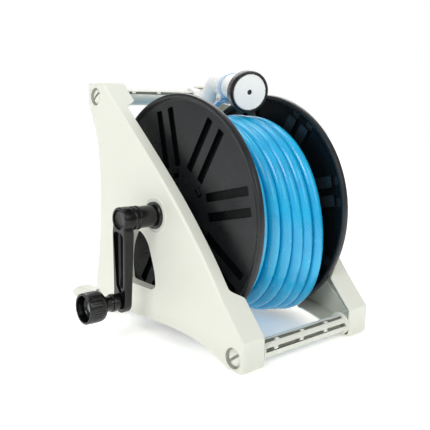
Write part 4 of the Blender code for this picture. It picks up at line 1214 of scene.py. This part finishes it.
class HOSEREEL_OT_inlet(bpy.types.Operator):
    """Turns the elbow, the lock nut and the connector nipple of the water inlet"""

    bl_idname = "hosereel.inlet"
    bl_label = "Water inlet"

    def execute(self, context):
        line = [
            (0, 145), (10, 145), (13, 144), (15.2, 142), (16, 139.5), (16, 115), (15.2, 114.2),
            (10.4, 114.2), (10.4, 137), (0, 137),
        ]
        elbow = lathe("inlet_housing", line, AXLE, SIDE_X, 80)
        branch = beside(AXLE, 130.5, 0, 0)
        boolean(elbow, lathe("branch", [(0, -12), (10, -12), (10, -46), (0, -46)], branch, UP, 48), "UNION")
        boolean(elbow, lathe("way", [(0, -9), (4.5, -9), (4.5, -48), (0, -48)], branch, UP, 32))
        eased(elbow, 0.5, 2, 40)
        finished(elbow, "stand", "grey_plastic", "grey", "inlet_elbow")

        top, low = -35.0, -54.0
        line = [
            (13.8, top), (15, top - 1), (15, low + 1), (13.8, low), (8.8, low), (8.8, low + 3.7),
            (10.35, low + 3.7), (10.35, top),
        ]
        nut = lathe("lock_nut", line, branch, UP, 96, closed=True)
        outline = [beside(branch, 15.6 + x, y, low - 1) for x, y in arc((0, 0), 1.3, 0, 315, 7)]
        knurled(nut, outline, Vector((0, 0, top - low + 2)) * MM, branch, UP, NUT_GROOVES)
        finished(nut, "stand", "grey_plastic", "grey", "inlet_lock_nut")

        line = [
            (9.7, 0), (9.7, 3.4), (8.4, 3.4), (8.4, 17), (10.2, 18.3), (10.6, 19.2), (10.6, 20.6),
            (10.2, 21.4), (8.4, 22.5),
        ]
        line += [(8.4, 26), (7.2, 26), (7.2, 29), (8.4, 29), (8.4, 36), (7.6, 38), (4.5, 38), (4.5, 0)]
        nipple = lathe("hose_nipple", [(r, -46.3 - drop) for r, drop in line], branch, UP, 64, closed=True)
        finished(nipple, "stand", "grey_plastic", "grey", "inlet_nipple")
        for node in ("water_axle", "core_outlet"):
            paint_node(node, "grey")
        paint_node("axle_seal", "seal")
        return {"FINISHED"}


class HOSEREEL_PT_pieces(bpy.types.Panel):
    bl_label = "Hose reel"
    bl_idname = "HOSEREEL_PT_pieces"
    bl_space_type = "VIEW_3D"
    bl_region_type = "UI"
    bl_category = "Hose reel"

    def draw(self, context):
        for settings in (context.scene.reel_sizes, context.scene.reel_colours):
            for name in settings.__annotations__:
                self.layout.prop(settings, name)
        for operator in OPERATORS:
            self.layout.operator(operator.bl_idname)


OPERATORS = (
    HOSEREEL_OT_stage,
    HOSEREEL_OT_hose,
    HOSEREEL_OT_panels,
    HOSEREEL_OT_bars,
    HOSEREEL_OT_bolts,
    HOSEREEL_OT_bushes,
    HOSEREEL_OT_flanges,
    HOSEREEL_OT_crank,
    HOSEREEL_OT_nozzle,
    HOSEREEL_OT_holder,
    HOSEREEL_OT_inlet,
)
CLASSES = (ReelSizes, ReelColours) + OPERATORS + (HOSEREEL_PT_pieces,)


def register():
    for item in CLASSES:
        bpy.utils.register_class(item)
    bpy.types.Scene.reel_sizes = bpy.props.PointerProperty(type=ReelSizes)
    bpy.types.Scene.reel_colours = bpy.props.PointerProperty(type=ReelColours)


def unregister():
    del bpy.types.Scene.reel_colours
    del bpy.types.Scene.reel_sizes
    for item in reversed(CLASSES):
        bpy.utils.unregister_class(item)


def main():
    register()
    make_materials(bpy.context.scene.reel_colours)
    for operator in OPERATORS:
        group, name = operator.bl_idname.split(".")
        getattr(getattr(bpy.ops, group), name)()


if __name__ == "__main__":
    main()
